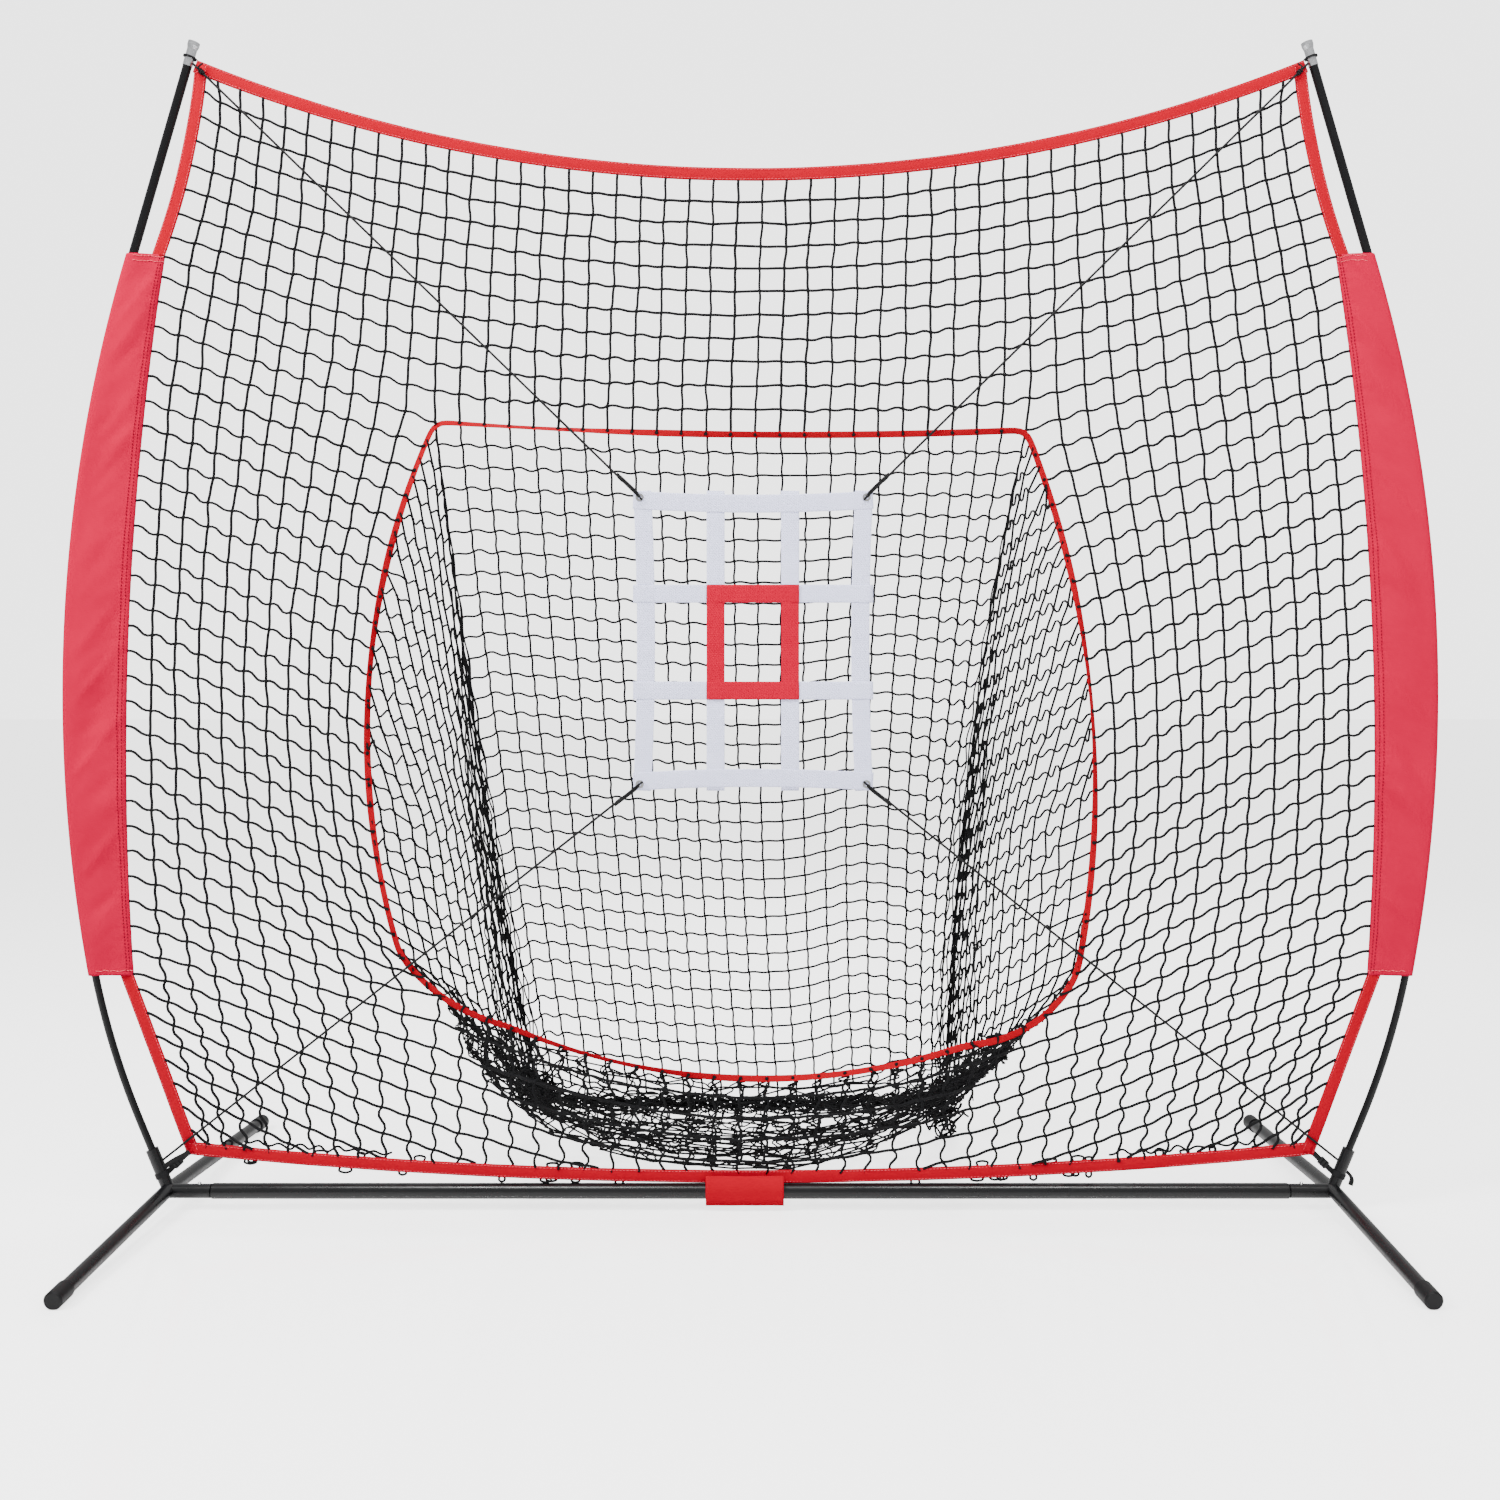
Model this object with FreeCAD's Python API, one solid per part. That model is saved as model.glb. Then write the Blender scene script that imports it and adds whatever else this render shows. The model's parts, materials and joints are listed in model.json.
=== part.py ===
import FreeCAD, Part
import math
import os

V = FreeCAD.Vector

# A pitching target net: two floor legs, a crossbar, two bowed poles, a netting
# wall with a bag behind its mouth, and a nine-window strap target on elastic cords.
# Millimetres, +Z up, +X to the right, +Y away from the thrower.  The net hangs in
# the plane of the poles, and the origin lies on the floor under the whole stand.

# Base frame
HUB_SPAN = 2140.0
HUB_Z = 37.0
LEG_OD = 25.4
LEG_WALL = 1.4
FRONT_REACH = 438.0
REAR_REACH = 496.0
LEG_BEND_RADIUS = 300.0
FOOT_AXIS_Z = 14.0
CAP_OD = 30.0
CAP_LENGTH = 42.0
CAP_END = 6.0
CAP_CHAMFER = 2.5
CAP_FIT = 0.1

# Crossbar and its snap-in ends
BAR_Z = 34.0
BAR_OD = 28.0
BAR_WALL = 1.6
STUB_LENGTH = 79.0
STUB_WALL = 1.3
NECK_LENGTH = 52.0
NECK_WALL = 1.4
NECK_FIT = 0.2
SHOULDER = 3.0
CENTRE_NECK_LENGTH = 60.0
BUTTON_D = 6.4
BUTTON_HOLE_FIT = 0.3
BUTTON_RISE = 3.5
BUTTON_HEAD_D = 9.0
BUTTON_HEAD_T = 1.2
BUTTON_CHAMFER = 1.2
BUTTON_INSET = 25.0
CENTRE_BUTTON_X = 30.0
SPRING_T = 0.8
SPRING_W = 6.0
SPRING_L = 22.0
SPRING_GAP = 0.3

# Bowed poles: a straight foot, a tight bow, a long bow and a straight tip
POLE_LEAN = 22.5
POLE_FOOT = 140.0
POLE_BOW_RADIUS = 1450.0
POLE_BOW_TURN = 13.2
POLE_LONG_RADIUS = 2850.0
POLE_LONG_TURN = 25.4
POLE_TIP = 402.0
POLE_OD = 13.0
UPPER_POLE_OD = 16.0
UPPER_POLE_WALL = 1.2
POLE_JOINT_1 = 717.0
POLE_JOINT_2 = 1434.0
FERRULE_LENGTH = 110.0
FERRULE_WALL = 1.2
POLE_FIT = 0.2
SOCKET_OD = 22.0
SOCKET_LENGTH = 80.0
SOCKET_SEAT = 18.0
TIP_LENGTH = 46.0
TIP_NECK_OD = 17.4
TIP_FLARE_OD = 21.0
TIP_BORE = 8.0
TIP_CROWN = 7.0

# Netting wall, its red tape border and the fabric pole sleeves
NET_T = 1.5
NET_BAR = 12.0
NET_OPENING_COUNT = (12, 12)
BAG_OPENING_COUNT = (8, 10)
SMALLEST_OPENING = 1500.0
BORDER_T = 4.0
BORDER_W = 24.0
TOP_CORNER_GAP = (8.1, 10.1)
TOP_SAG = 199.0
UPPER_EDGE_BOW = (14.0, 206.0)
SLEEVE_HEIGHTS = (1756.0, 1080.0, 431.0)
SLEEVE_WIDTHS = (59.3, 106.3, 70.6)
BOTTOM_CORNER_GAP = 37.0
BOTTOM_CORNER_Z = 101.0
BOTTOM_SAG_Z = 48.5
SLEEVE_WALL = 1.0
SLEEVE_ROOM = 10.7
SLEEVE_SEAM = 14.0
SLEEVE_STATIONS = 7

# Bag mouth, its trim tape and the netting bag behind it
MOUTH_TOP_LEFT = (-580.0, 1448.0)
MOUTH_TOP_RIGHT = (507.0, 1433.0)
MOUTH_TOP_MID = (-36.0, 1425.0)
MOUTH_RIGHT_MID = (634.0, 800.0)
MOUTH_RIGHT_LOW = (601.0, 434.0)
MOUTH_BOTTOM_RIGHT = (399.0, 302.0)
MOUTH_BOTTOM_MID = (-24.0, 241.0)
MOUTH_BOTTOM_LEFT = (-446.0, 337.0)
MOUTH_LEFT_LOW = (-645.0, 469.0)
MOUTH_RIGHT_CORNER = (542.0, 357.0)
MOUTH_LEFT_CORNER = (-570.0, 393.0)
MOUTH_LEFT_MID = (-704.0, 817.0)
TRIM_W = 12.0
TRIM_T = 2.4
MOUTH_SIDES = {-1: (MOUTH_TOP_LEFT, MOUTH_LEFT_MID, MOUTH_LEFT_LOW),
               1: (MOUTH_TOP_RIGHT, MOUTH_RIGHT_MID, MOUTH_RIGHT_LOW)}
BAG_DEPTH = 420.0
BAG_MID = (-535.0, 425.0, 220.0, 760.0)
BAG_FOOT = (-456.0, 402.0, 87.0)
BAG_SAG = 14.0
BAG_BILLOW = 14.0
BELLY_ROWS = ((110.0, 34.0), (300.0, 29.0))
SEAM_GAP = 3.0
BAG_FACETS = 8

# Strap target
TARGET_CENTRE = (5.0, 1045.5)
TARGET_SIZE = (441.0, 551.0)
STRAP_W = 33.0
STRAP_T = 1.2
INNER_STRAP_X = (-64.0, 73.0)
INNER_STRAP_Z = (954.0, 1132.0)
GROMMET_OD = 15.0
GROMMET_BORE = 7.5
GROMMET_T = 4.2
GROMMET_LIP_OD = 10.0
GROMMET_INSET = 12.0

# Elastic cords, ties, straps and the crossbar tab
ELASTIC_D = 2.8
ELASTIC_FRONT = 5.1
CORD_GAP = 0.3
TIE_D = 3.0
TAB_CENTRE_X = -10.0
TAB_W = 143.0
TAB_T = 2.0
TAB_DROP = 26.5
WEBBING_W = 10.0
WEBBING_T = 1.4
CORD_HEIGHT = 54.0
STRAP_HEIGHT = 30.0
BUCKLE_SIZE = (17.0, 15.0, 3.6)

NET_Y = (FRONT_REACH - REAR_REACH) / 2.0
HUB_X = HUB_SPAN / 2.0
STUB_OD = LEG_OD
STUB_BORE = STUB_OD - 2 * STUB_WALL
NECK_OD = STUB_BORE - 2 * NECK_FIT
BAR_END = HUB_X - STUB_LENGTH - SHOULDER - NECK_FIT
BUTTON_X = BAR_END + BUTTON_INSET


def save(name, shape):
    """Write one sub-part, with the net plane set back under the stand's middle."""
    placed = shape.copy()
    placed.translate(V(0, NET_Y, 0))
    placed.exportStep("parts/%s.step" % name)


def pair(name, shape):
    """Write a right-hand sub-part and its mirrored left-hand twin."""
    save("right_" + name, shape)
    save("left_" + name, shape.mirror(V(0, 0, 0), V(1, 0, 0)))


def both(name, shapes):
    """Write right-hand pieces and their mirrored twins as one group of separate solids."""
    twins = [shape.mirror(V(0, 0, 0), V(1, 0, 0)) for shape in shapes]
    save(name, Part.makeCompound(shapes + twins))


def line(a, b):
    return Part.LineSegment(a, b).toShape()


def arc(a, b, c):
    return Part.Arc(a, b, c).toShape()


def sweep(wire, outer, bore=0.0):
    """A round tube or rod along a wire of lines and arcs."""
    first = wire.Edges[0]
    start = first.valueAt(first.FirstParameter)
    axis = first.tangentAt(first.FirstParameter)
    solid = wire.makePipe(Part.Face(Part.Wire(Part.makeCircle(outer / 2.0, start, axis))))
    if bore > 0:
        solid = solid.cut(wire.makePipe(Part.Face(Part.Wire(Part.makeCircle(bore / 2.0, start, axis)))))
    return solid


def turned(outline, start, axis):
    """A turned solid from (distance along the axis, radius) points."""
    points = [V(radius, 0, distance) for distance, radius in outline]
    solid = Part.Face(Part.makePolygon(points + [points[0]])).revolve(V(0, 0, 0), V(0, 0, 1), 360)
    solid.Placement = FreeCAD.Placement(start, FreeCAD.Rotation(V(0, 0, 1), axis))
    return solid


def tube(start, heading, length, outer, bore=0.0):
    solid = Part.makeCylinder(outer / 2.0, length, start, heading)
    if bore > 0:
        solid = solid.cut(Part.makeCylinder(bore / 2.0, length, start, heading))
    return solid


def flat(edges, depth, front):
    """A sheet cut to an outline in the net plane, from y=front to y=front+depth."""
    face = Part.Face(Part.Wire(edges))
    face.translate(V(0, front, 0))
    return face.extrude(V(0, depth, 0))


def at(point, y=0.0):
    return V(point[0], y, point[1])


def left(point):
    return (-point[0], point[1])


# ---------------------------------------------------------------- pole centreline

def pole_spans():
    """The pole's runs as (length, radius, turn), a radius of 0 being straight."""
    return [(POLE_FOOT, 0.0, 0.0),
            (math.radians(POLE_BOW_TURN) * POLE_BOW_RADIUS, POLE_BOW_RADIUS, POLE_BOW_TURN),
            (math.radians(POLE_LONG_TURN) * POLE_LONG_RADIUS, POLE_LONG_RADIUS, POLE_LONG_TURN),
            (POLE_TIP, 0.0, 0.0)]


def along(x, z, lean, radius, run):
    """Where a run of that radius ends, and how far it still leans outward."""
    if radius == 0.0:
        return x + run * math.sin(lean), z + run * math.cos(lean), lean
    turned = lean - run / radius
    return (x + radius * (math.cos(turned) - math.cos(lean)),
            z + radius * (math.sin(lean) - math.sin(turned)), turned)


def pole_point(distance):
    """Centre of the right pole and its lean, that far along from the hub."""
    x, z, lean = HUB_X, HUB_Z, math.radians(POLE_LEAN)
    for length, radius, turn in pole_spans():
        run = min(length, distance)
        x, z, lean = along(x, z, lean, radius, run)
        distance -= run
        if distance <= 0:
            break
    return x, z, lean


def pole_wire(start, end):
    """The right pole's centreline between two distances from the hub."""
    edges = []
    passed = 0.0
    for length, radius, turn in pole_spans():
        a = max(start, passed)
        b = min(end, passed + length)
        passed += length
        if b - a < 0.01:
            continue
        ends = [at(pole_point(s)[:2]) for s in (a, (a + b) / 2.0, b)]
        if radius == 0.0:
            edges.append(line(ends[0], ends[2]))
        else:
            edges.append(arc(ends[0], ends[1], ends[2]))
    return Part.Wire(edges)


def pole_at_height(z):
    """Distance along the pole at a height, found by halving."""
    low, high = 0.0, POLE_LENGTH
    for step in range(40):
        middle = (low + high) / 2.0
        if pole_point(middle)[1] < z:
            low = middle
        else:
            high = middle
    return low


POLE_LENGTH = sum(span[0] for span in pole_spans())


def heading(distance):
    lean = pole_point(distance)[2]
    return V(math.sin(lean), 0, math.cos(lean))


# ---------------------------------------------------------------- base frame

def leg_wire():
    """Front foot, a shallow bend over the hub, and the rear foot."""
    front = V(HUB_X, -FRONT_REACH + CAP_END, FOOT_AXIS_Z)
    hub = V(HUB_X, 0, HUB_Z)
    rear = V(HUB_X, REAR_REACH - CAP_END, FOOT_AXIS_Z)
    to_front = (front - hub).normalize()
    to_rear = (rear - hub).normalize()
    turn = math.pi - to_front.getAngle(to_rear)
    setback = LEG_BEND_RADIUS * math.tan(turn / 2.0)
    rise = LEG_BEND_RADIUS * (1 / math.cos(turn / 2.0) - 1)
    a = hub + to_front * setback
    b = hub + to_rear * setback
    crown = hub + (to_front + to_rear).normalize() * rise
    return Part.Wire([line(front, a), arc(a, crown, b), line(b, rear)])


def foot_cap(front):
    """Push-on rubber cap with a closed, chamfered end and a small flat sole."""
    reach = -FRONT_REACH if front else REAR_REACH
    inward = 1.0 if front else -1.0
    end = V(HUB_X, reach + inward * CAP_END, FOOT_AXIS_Z)
    axis = (V(HUB_X, 0, HUB_Z) - end).normalize()
    outer = CAP_OD / 2.0
    bore = LEG_OD / 2.0 + CAP_FIT
    outline = [(0, 0), (0, outer - CAP_CHAMFER), (CAP_CHAMFER, outer), (CAP_LENGTH, outer),
               (CAP_LENGTH, bore), (CAP_END, bore), (CAP_END, 0)]
    cap = turned(outline, end - axis * CAP_END, axis)
    floor = Part.makeBox(200, 200, 50, V(HUB_X - 100, reach - 100, -50))
    return cap.cut(floor)


def base_frame():
    """Each side's weldment: the floor leg with the pole socket and the crossbar stub."""
    leg_core = sweep(leg_wire(), LEG_OD)
    stub_run = (V(HUB_X, 0, BAR_Z), V(-1, 0, 0), STUB_LENGTH)
    socket_run = (at((HUB_X, HUB_Z)), heading(0), SOCKET_LENGTH)
    solid = leg_core.fuse([tube(*stub_run, STUB_OD), tube(*socket_run, SOCKET_OD)])
    leg_bore = sweep(leg_wire(), LEG_OD - 2 * LEG_WALL)
    stub_bore = tube(V(HUB_X - LEG_OD / 2.0, 0, BAR_Z), V(-1, 0, 0), STUB_LENGTH, STUB_BORE)
    pole_bore = tube(at(pole_point(SOCKET_SEAT)[:2]), heading(0), SOCKET_LENGTH, POLE_BORE)
    frame = solid.cut([leg_bore, stub_bore, pole_bore, button_hole(BUTTON_X, V(0, 0, 1))])
    pair("leg_frame", largest(frame))
    both("foot_caps", [foot_cap(True), foot_cap(False)])


def largest(shape):
    return sorted(shape.Solids, key=lambda solid: solid.Volume)[-1]


POLE_BORE = POLE_OD + 2 * POLE_FIT


def button_hole(x, up):
    radius = BUTTON_D / 2.0 + BUTTON_HOLE_FIT
    return Part.makeCylinder(radius, BAR_OD, V(x, 0, BAR_Z), up)


def necked(outline_far):
    """Mirror a half-bar outline's outer end; the shoulder slopes down to the neck."""
    full = BAR_OD / 2.0
    neck = NECK_OD / 2.0
    return [(BAR_END, full), (BAR_END + SHOULDER, neck), (BAR_END + NECK_LENGTH, neck),
            (BAR_END + NECK_LENGTH, neck - NECK_WALL), (BAR_END + SHOULDER, neck - NECK_WALL),
            (BAR_END - SHOULDER, full - BAR_WALL)] + outline_far


def crossbar():
    """Two tubes: each has a neck for its stub, and the left one slides into the right."""
    inner = BAR_OD / 2.0 - BAR_WALL
    socket_end = [(0.0, inner), (0.0, BAR_OD / 2.0)]
    joint = inner - NECK_FIT
    joint_end = [(SHOULDER, inner), (0.0, joint - NECK_WALL), (-CENTRE_NECK_LENGTH, joint - NECK_WALL),
                 (-CENTRE_NECK_LENGTH, joint), (0.0, joint), (0.0, BAR_OD / 2.0)]
    axis_start = V(0, 0, BAR_Z)
    right = turned(necked(socket_end), axis_start, V(1, 0, 0))
    left_half = turned(necked(joint_end), axis_start, V(-1, 0, 0))
    centre_hole = button_hole(CENTRE_BUTTON_X, V(0, 0, -1))
    save("crossbar_right_half", right.cut([centre_hole, button_hole(BUTTON_X, V(0, 0, 1))]))
    save("crossbar_left_half", left_half.cut([centre_hole, button_hole(-BUTTON_X, V(0, 0, 1))]))


def snap_button(x, up, bore, outer):
    """A button with a head that waits under the neck's wall, standing proud of the outer tube."""
    top = outer / 2.0 + BUTTON_RISE
    head_r = BUTTON_HEAD_D / 2.0
    stem_r = BUTTON_D / 2.0
    head_top = math.sqrt((bore / 2.0) ** 2 - head_r ** 2) - SPRING_GAP
    under = head_top - BUTTON_HEAD_T
    outline = [(under, 0), (under, head_r), (head_top, head_r), (head_top, stem_r),
               (top - BUTTON_CHAMFER, stem_r), (top, stem_r - BUTTON_CHAMFER), (top, 0)]
    return turned(outline, V(x, 0, BAR_Z), up), under


def button_spring(x, up, bore, under, step):
    """A folded leaf: a lower arm on the tube's floor and an upper arm under the button."""
    low = -math.sqrt((bore / 2.0) ** 2 - (SPRING_W / 2.0) ** 2) + 0.05
    high = under - SPRING_T - 0.05
    back = x - step * SPRING_L
    front = x + step * BUTTON_HEAD_D / 2.0
    bend = (high - low - SPRING_T) / 2.0
    fold = back + step * bend
    outline = [V(front, 0, low), V(fold, 0, low), V(fold, 0, high + SPRING_T),
               V(front, 0, high + SPRING_T), V(front, 0, high), V(fold, 0, high),
               V(fold, 0, low + SPRING_T), V(front, 0, low + SPRING_T)]
    middle = (low + high + SPRING_T) / 2.0
    far = fold - step * (high + SPRING_T - low) / 2.0
    near = far + step * SPRING_T
    edges = [line(outline[0], outline[1]),
             arc(outline[1], V(far, 0, middle), outline[2]),
             line(outline[2], outline[3]), line(outline[3], outline[4]),
             line(outline[4], outline[5]),
             arc(outline[5], V(near, 0, middle), outline[6]),
             line(outline[6], outline[7]), line(outline[7], outline[0])]
    leaf = flat(edges, SPRING_W, -SPRING_W / 2.0)
    if up.z < 0:
        leaf = leaf.mirror(V(0, 0, 0), V(0, 0, 1))
    leaf.translate(V(0, 0, BAR_Z))
    return leaf


def snap_buttons():
    neck_bore = NECK_OD - 2 * NECK_WALL
    centre_bore = BAR_OD - 2 * BAR_WALL - 2 * NECK_FIT - 2 * NECK_WALL
    up = V(0, 0, 1)
    down = V(0, 0, -1)
    button, under = snap_button(BUTTON_X, up, neck_bore, STUB_OD)
    pair("snap_button", button)
    pair("button_spring", button_spring(BUTTON_X, up, neck_bore, under, 1))
    button, under = snap_button(CENTRE_BUTTON_X, down, centre_bore, BAR_OD)
    save("centre_snap_button", button)
    save("centre_button_spring", button_spring(CENTRE_BUTTON_X, down, centre_bore, under, 1))


# ---------------------------------------------------------------- poles

def poles():
    lower = sweep(pole_wire(SOCKET_SEAT, POLE_JOINT_1), POLE_OD)
    middle = sweep(pole_wire(POLE_JOINT_1, POLE_JOINT_2 - 3.0), POLE_OD)
    upper = sweep(pole_wire(POLE_JOINT_2, POLE_LENGTH), UPPER_POLE_OD,
                  UPPER_POLE_OD - 2 * UPPER_POLE_WALL)
    half = FERRULE_LENGTH / 2.0
    bore = POLE_OD + 2 * POLE_FIT
    collar = bore + 2 * FERRULE_WALL
    plug = UPPER_POLE_OD - 2 * UPPER_POLE_WALL - 2 * POLE_FIT
    lower_ferrule = sweep(pole_wire(POLE_JOINT_1 - half, POLE_JOINT_1 + half), collar, bore)
    cup = sweep(pole_wire(POLE_JOINT_2 - half, POLE_JOINT_2), collar, bore)
    spigot = sweep(pole_wire(POLE_JOINT_2 - 3.0, POLE_JOINT_2 + half), plug)
    stop = sweep(pole_wire(POLE_JOINT_2 - 3.0, POLE_JOINT_2), collar - 0.4)
    pair("lower_pole", lower)
    pair("middle_pole", middle)
    pair("upper_pole", upper)
    both("lower_ferrules", [lower_ferrule])
    both("upper_ferrules", [cup.fuse([stop, spigot])])
    both("tip_ferrules", [tip_ferrule()])


def tip_ferrule():
    """A bright turned cap: a skirt over the pole, a waist and a flared crown with a bore."""
    skirt = UPPER_POLE_OD / 2.0 + POLE_FIT
    neck = TIP_NECK_OD / 2.0
    flare = TIP_FLARE_OD / 2.0
    half = TIP_LENGTH / 2.0
    outline = [(0, skirt), (0, neck), (TIP_LENGTH - 2 * TIP_CROWN, neck), (TIP_LENGTH - TIP_CROWN, flare),
               (TIP_LENGTH, flare), (TIP_LENGTH, TIP_BORE / 2.0), (half + POLE_FIT, TIP_BORE / 2.0),
               (half + POLE_FIT, skirt)]
    return turned(outline, at(pole_point(POLE_LENGTH - half)[:2]), heading(POLE_LENGTH))


# ---------------------------------------------------------------- netting wall

def beside_pole(height, width):
    """A point of the sleeve's sewn edge, its width in from the pole at a height."""
    return pole_point(pole_at_height(height))[0] - width, height


POLE_TOP = pole_point(POLE_LENGTH)
TOP_CORNER = (POLE_TOP[0] - TOP_CORNER_GAP[0], POLE_TOP[1] - TOP_CORNER_GAP[1])
TOP_SAG_Z = TOP_CORNER[1] - TOP_SAG
UPPER_EDGE_MID = (TOP_CORNER[0] + UPPER_EDGE_BOW[0], TOP_CORNER[1] - UPPER_EDGE_BOW[1])
SLEEVE_TOP, SLEEVE_MID, SLEEVE_BOTTOM = [beside_pole(z, w) for z, w in zip(SLEEVE_HEIGHTS, SLEEVE_WIDTHS)]
BOTTOM_CORNER = (HUB_X - BOTTOM_CORNER_GAP, BOTTOM_CORNER_Z)


def wall_corners(inset):
    """Right-hand corners of the wall, drawn in by the tape's width."""
    slope = (TOP_CORNER[1] - TOP_SAG_Z) / TOP_CORNER[0]
    top = (TOP_CORNER[0] - inset, TOP_CORNER[1] - inset * (1 + slope))
    bottom = (BOTTOM_CORNER[0] - inset * 0.95, BOTTOM_CORNER[1] + inset)
    return top, bottom


def wall_outline(inset):
    """The wall's edge: sagging top and bottom arcs, and bowed or slanting sides."""
    top, bottom = wall_corners(inset)
    away = BORDER_W - inset
    shift = lambda point: (point[0] + away, point[1])
    upper = [shift(UPPER_EDGE_MID), shift(SLEEVE_TOP)]
    lower = shift(SLEEVE_BOTTOM)
    side = [("arc", top, upper[0], upper[1]),
            ("arc", upper[1], shift(SLEEVE_MID), lower),
            ("line", lower, bottom)]
    edges = [arc(at(left(top)), V(0, 0, TOP_SAG_Z - inset), at(top))]
    for piece in side:
        points = [at(p) for p in piece[1:]]
        edges.append(arc(*points) if piece[0] == "arc" else line(*points))
    edges.append(arc(at(bottom), V(0, 0, BOTTOM_SAG_Z + inset), at(left(bottom))))
    for piece in reversed(side):
        points = [at(left(p)) for p in reversed(piece[1:])]
        edges.append(arc(*points) if piece[0] == "arc" else line(*points))
    return edges


def mouth_edges():
    """The bag mouth's centreline, six arcs clockwise from its top left corner."""
    rows = [(MOUTH_TOP_LEFT, MOUTH_TOP_MID, MOUTH_TOP_RIGHT),
            (MOUTH_TOP_RIGHT, MOUTH_RIGHT_MID, MOUTH_RIGHT_LOW),
            (MOUTH_RIGHT_LOW, MOUTH_RIGHT_CORNER, MOUTH_BOTTOM_RIGHT),
            (MOUTH_BOTTOM_RIGHT, MOUTH_BOTTOM_MID, MOUTH_BOTTOM_LEFT),
            (MOUTH_BOTTOM_LEFT, MOUTH_LEFT_CORNER, MOUTH_LEFT_LOW),
            (MOUTH_LEFT_LOW, MOUTH_LEFT_MID, MOUTH_TOP_LEFT)]
    return [arc(at(a), at(b), at(c)) for a, b, c in rows]


def mouth_plate(grow, depth):
    """A plate of the mouth's outline, grown or drawn in all round."""
    face = Part.Face(Part.Wire(mouth_edges()).makeOffset2D(grow, 2))
    face.translate(V(0, -depth / 2.0, 0))
    return face.extrude(V(0, depth, 0))


def net_openings(region, low, high, count):
    """The grid of openings that stands for the meshes, cut to a region, bars left between."""
    step_x = (high[0] - low[0]) / count[0]
    step_z = (high[1] - low[1]) / count[1]
    room = region.BoundBox
    boxes = []
    for i in range(count[0]):
        for k in range(count[1]):
            corner = V(low[0] + i * step_x + NET_BAR / 2.0, room.YMin,
                       low[1] + k * step_z + NET_BAR / 2.0)
            boxes.append(Part.makeBox(step_x - NET_BAR, room.YLength, step_z - NET_BAR, corner))
    smallest = SMALLEST_OPENING * room.YLength
    return [solid for solid in region.common(boxes).Solids if solid.Volume > smallest]


def netting_wall():
    depth = 10 * BORDER_T
    inside = flat(wall_outline(BORDER_W + NET_BAR), depth, -depth / 2.0)
    inside = inside.cut(mouth_plate(TRIM_W / 2.0 + NET_BAR, 2 * depth))
    openings = net_openings(inside, (-SLEEVE_MID[0], 0.0), (SLEEVE_MID[0], TOP_CORNER[1]), NET_OPENING_COUNT)
    wall = flat(wall_outline(BORDER_W), NET_T, -NET_T / 2.0).cut(openings)
    sleeve = pole_sleeve()
    pair("pole_sleeve", sleeve)
    wall = wall.cut([mouth_plate(TRIM_W / 2.0, BORDER_T), sleeve, sleeve.mirror(V(0, 0, 0), V(1, 0, 0))])
    save("front_net", largest(wall))
    trim = mouth_plate(TRIM_W / 2.0, TRIM_T).cut(mouth_plate(-TRIM_W / 2.0, TRIM_T))
    save("mouth_trim", trim)


def borders():
    depth = 10 * BORDER_T
    near = -depth / 2.0
    plate = flat(wall_outline(0.0), BORDER_T, -BORDER_T / 2.0)
    plate = plate.cut(flat(wall_outline(BORDER_W), BORDER_T, -BORDER_T / 2.0))
    top, bottom = wall_corners(BORDER_W)
    low = SLEEVE_TOP[1]
    top_zone = Part.makeBox(2 * HUB_SPAN, depth, HUB_SPAN, V(-HUB_SPAN, near, top[1]))
    below_arc = flat([arc(at(left(top)), V(0, 0, TOP_SAG_Z - BORDER_W), at(top)),
                      line(at(top), at((top[0], low))), line(at((top[0], low)), at((-top[0], low))),
                      line(at((-top[0], low)), at(left(top)))], depth, near)
    sag_zone = Part.makeBox(2 * top[0], depth, HUB_SPAN, V(-top[0], near, low)).cut(below_arc)
    save("top_border", largest(plate.common(top_zone.fuse(sag_zone))))
    bottom_zone = Part.makeBox(2 * HUB_SPAN, depth, bottom[1], V(-HUB_SPAN, near, 0))
    save("bottom_border", largest(plate.common(bottom_zone)))
    upper_zone = Part.makeBox(HUB_SPAN, depth, top[1] - low, V(0, near, low))
    lower_zone = Part.makeBox(HUB_SPAN, depth, SLEEVE_BOTTOM[1] - bottom[1], V(0, near, bottom[1]))
    pair("upper_border", largest(plate.common(upper_zone).cut(sag_zone)))
    pair("lower_border", largest(plate.common(lower_zone)))


def sleeve_seam_x(z):
    """Where the sleeve's sewn edge runs at a height, on its circular bow."""
    bow = arc(at(SLEEVE_TOP), at(SLEEVE_MID), at(SLEEVE_BOTTOM)).Curve
    centre = bow.Center
    return centre.x + math.sqrt(bow.Radius ** 2 - (z - centre.z) ** 2)


def teardrop(z, radius, seam_x, seam_half):
    """A level section of the sleeve: round the pole, then flat to its seam."""
    centre_x = pole_point(pole_at_height(z))[0]
    reach = centre_x - seam_x
    swing = math.asin((radius - seam_half) / reach)
    touch_x = centre_x - radius * math.sin(swing)
    touch_y = radius * math.cos(swing)
    points = [V(touch_x, -touch_y, z), V(centre_x + radius, 0, z), V(touch_x, touch_y, z),
              V(seam_x, seam_half, z), V(seam_x, -seam_half, z)]
    return Part.Wire([arc(points[0], points[1], points[2]), line(points[2], points[3]),
                      line(points[3], points[4]), line(points[4], points[0])])


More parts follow.
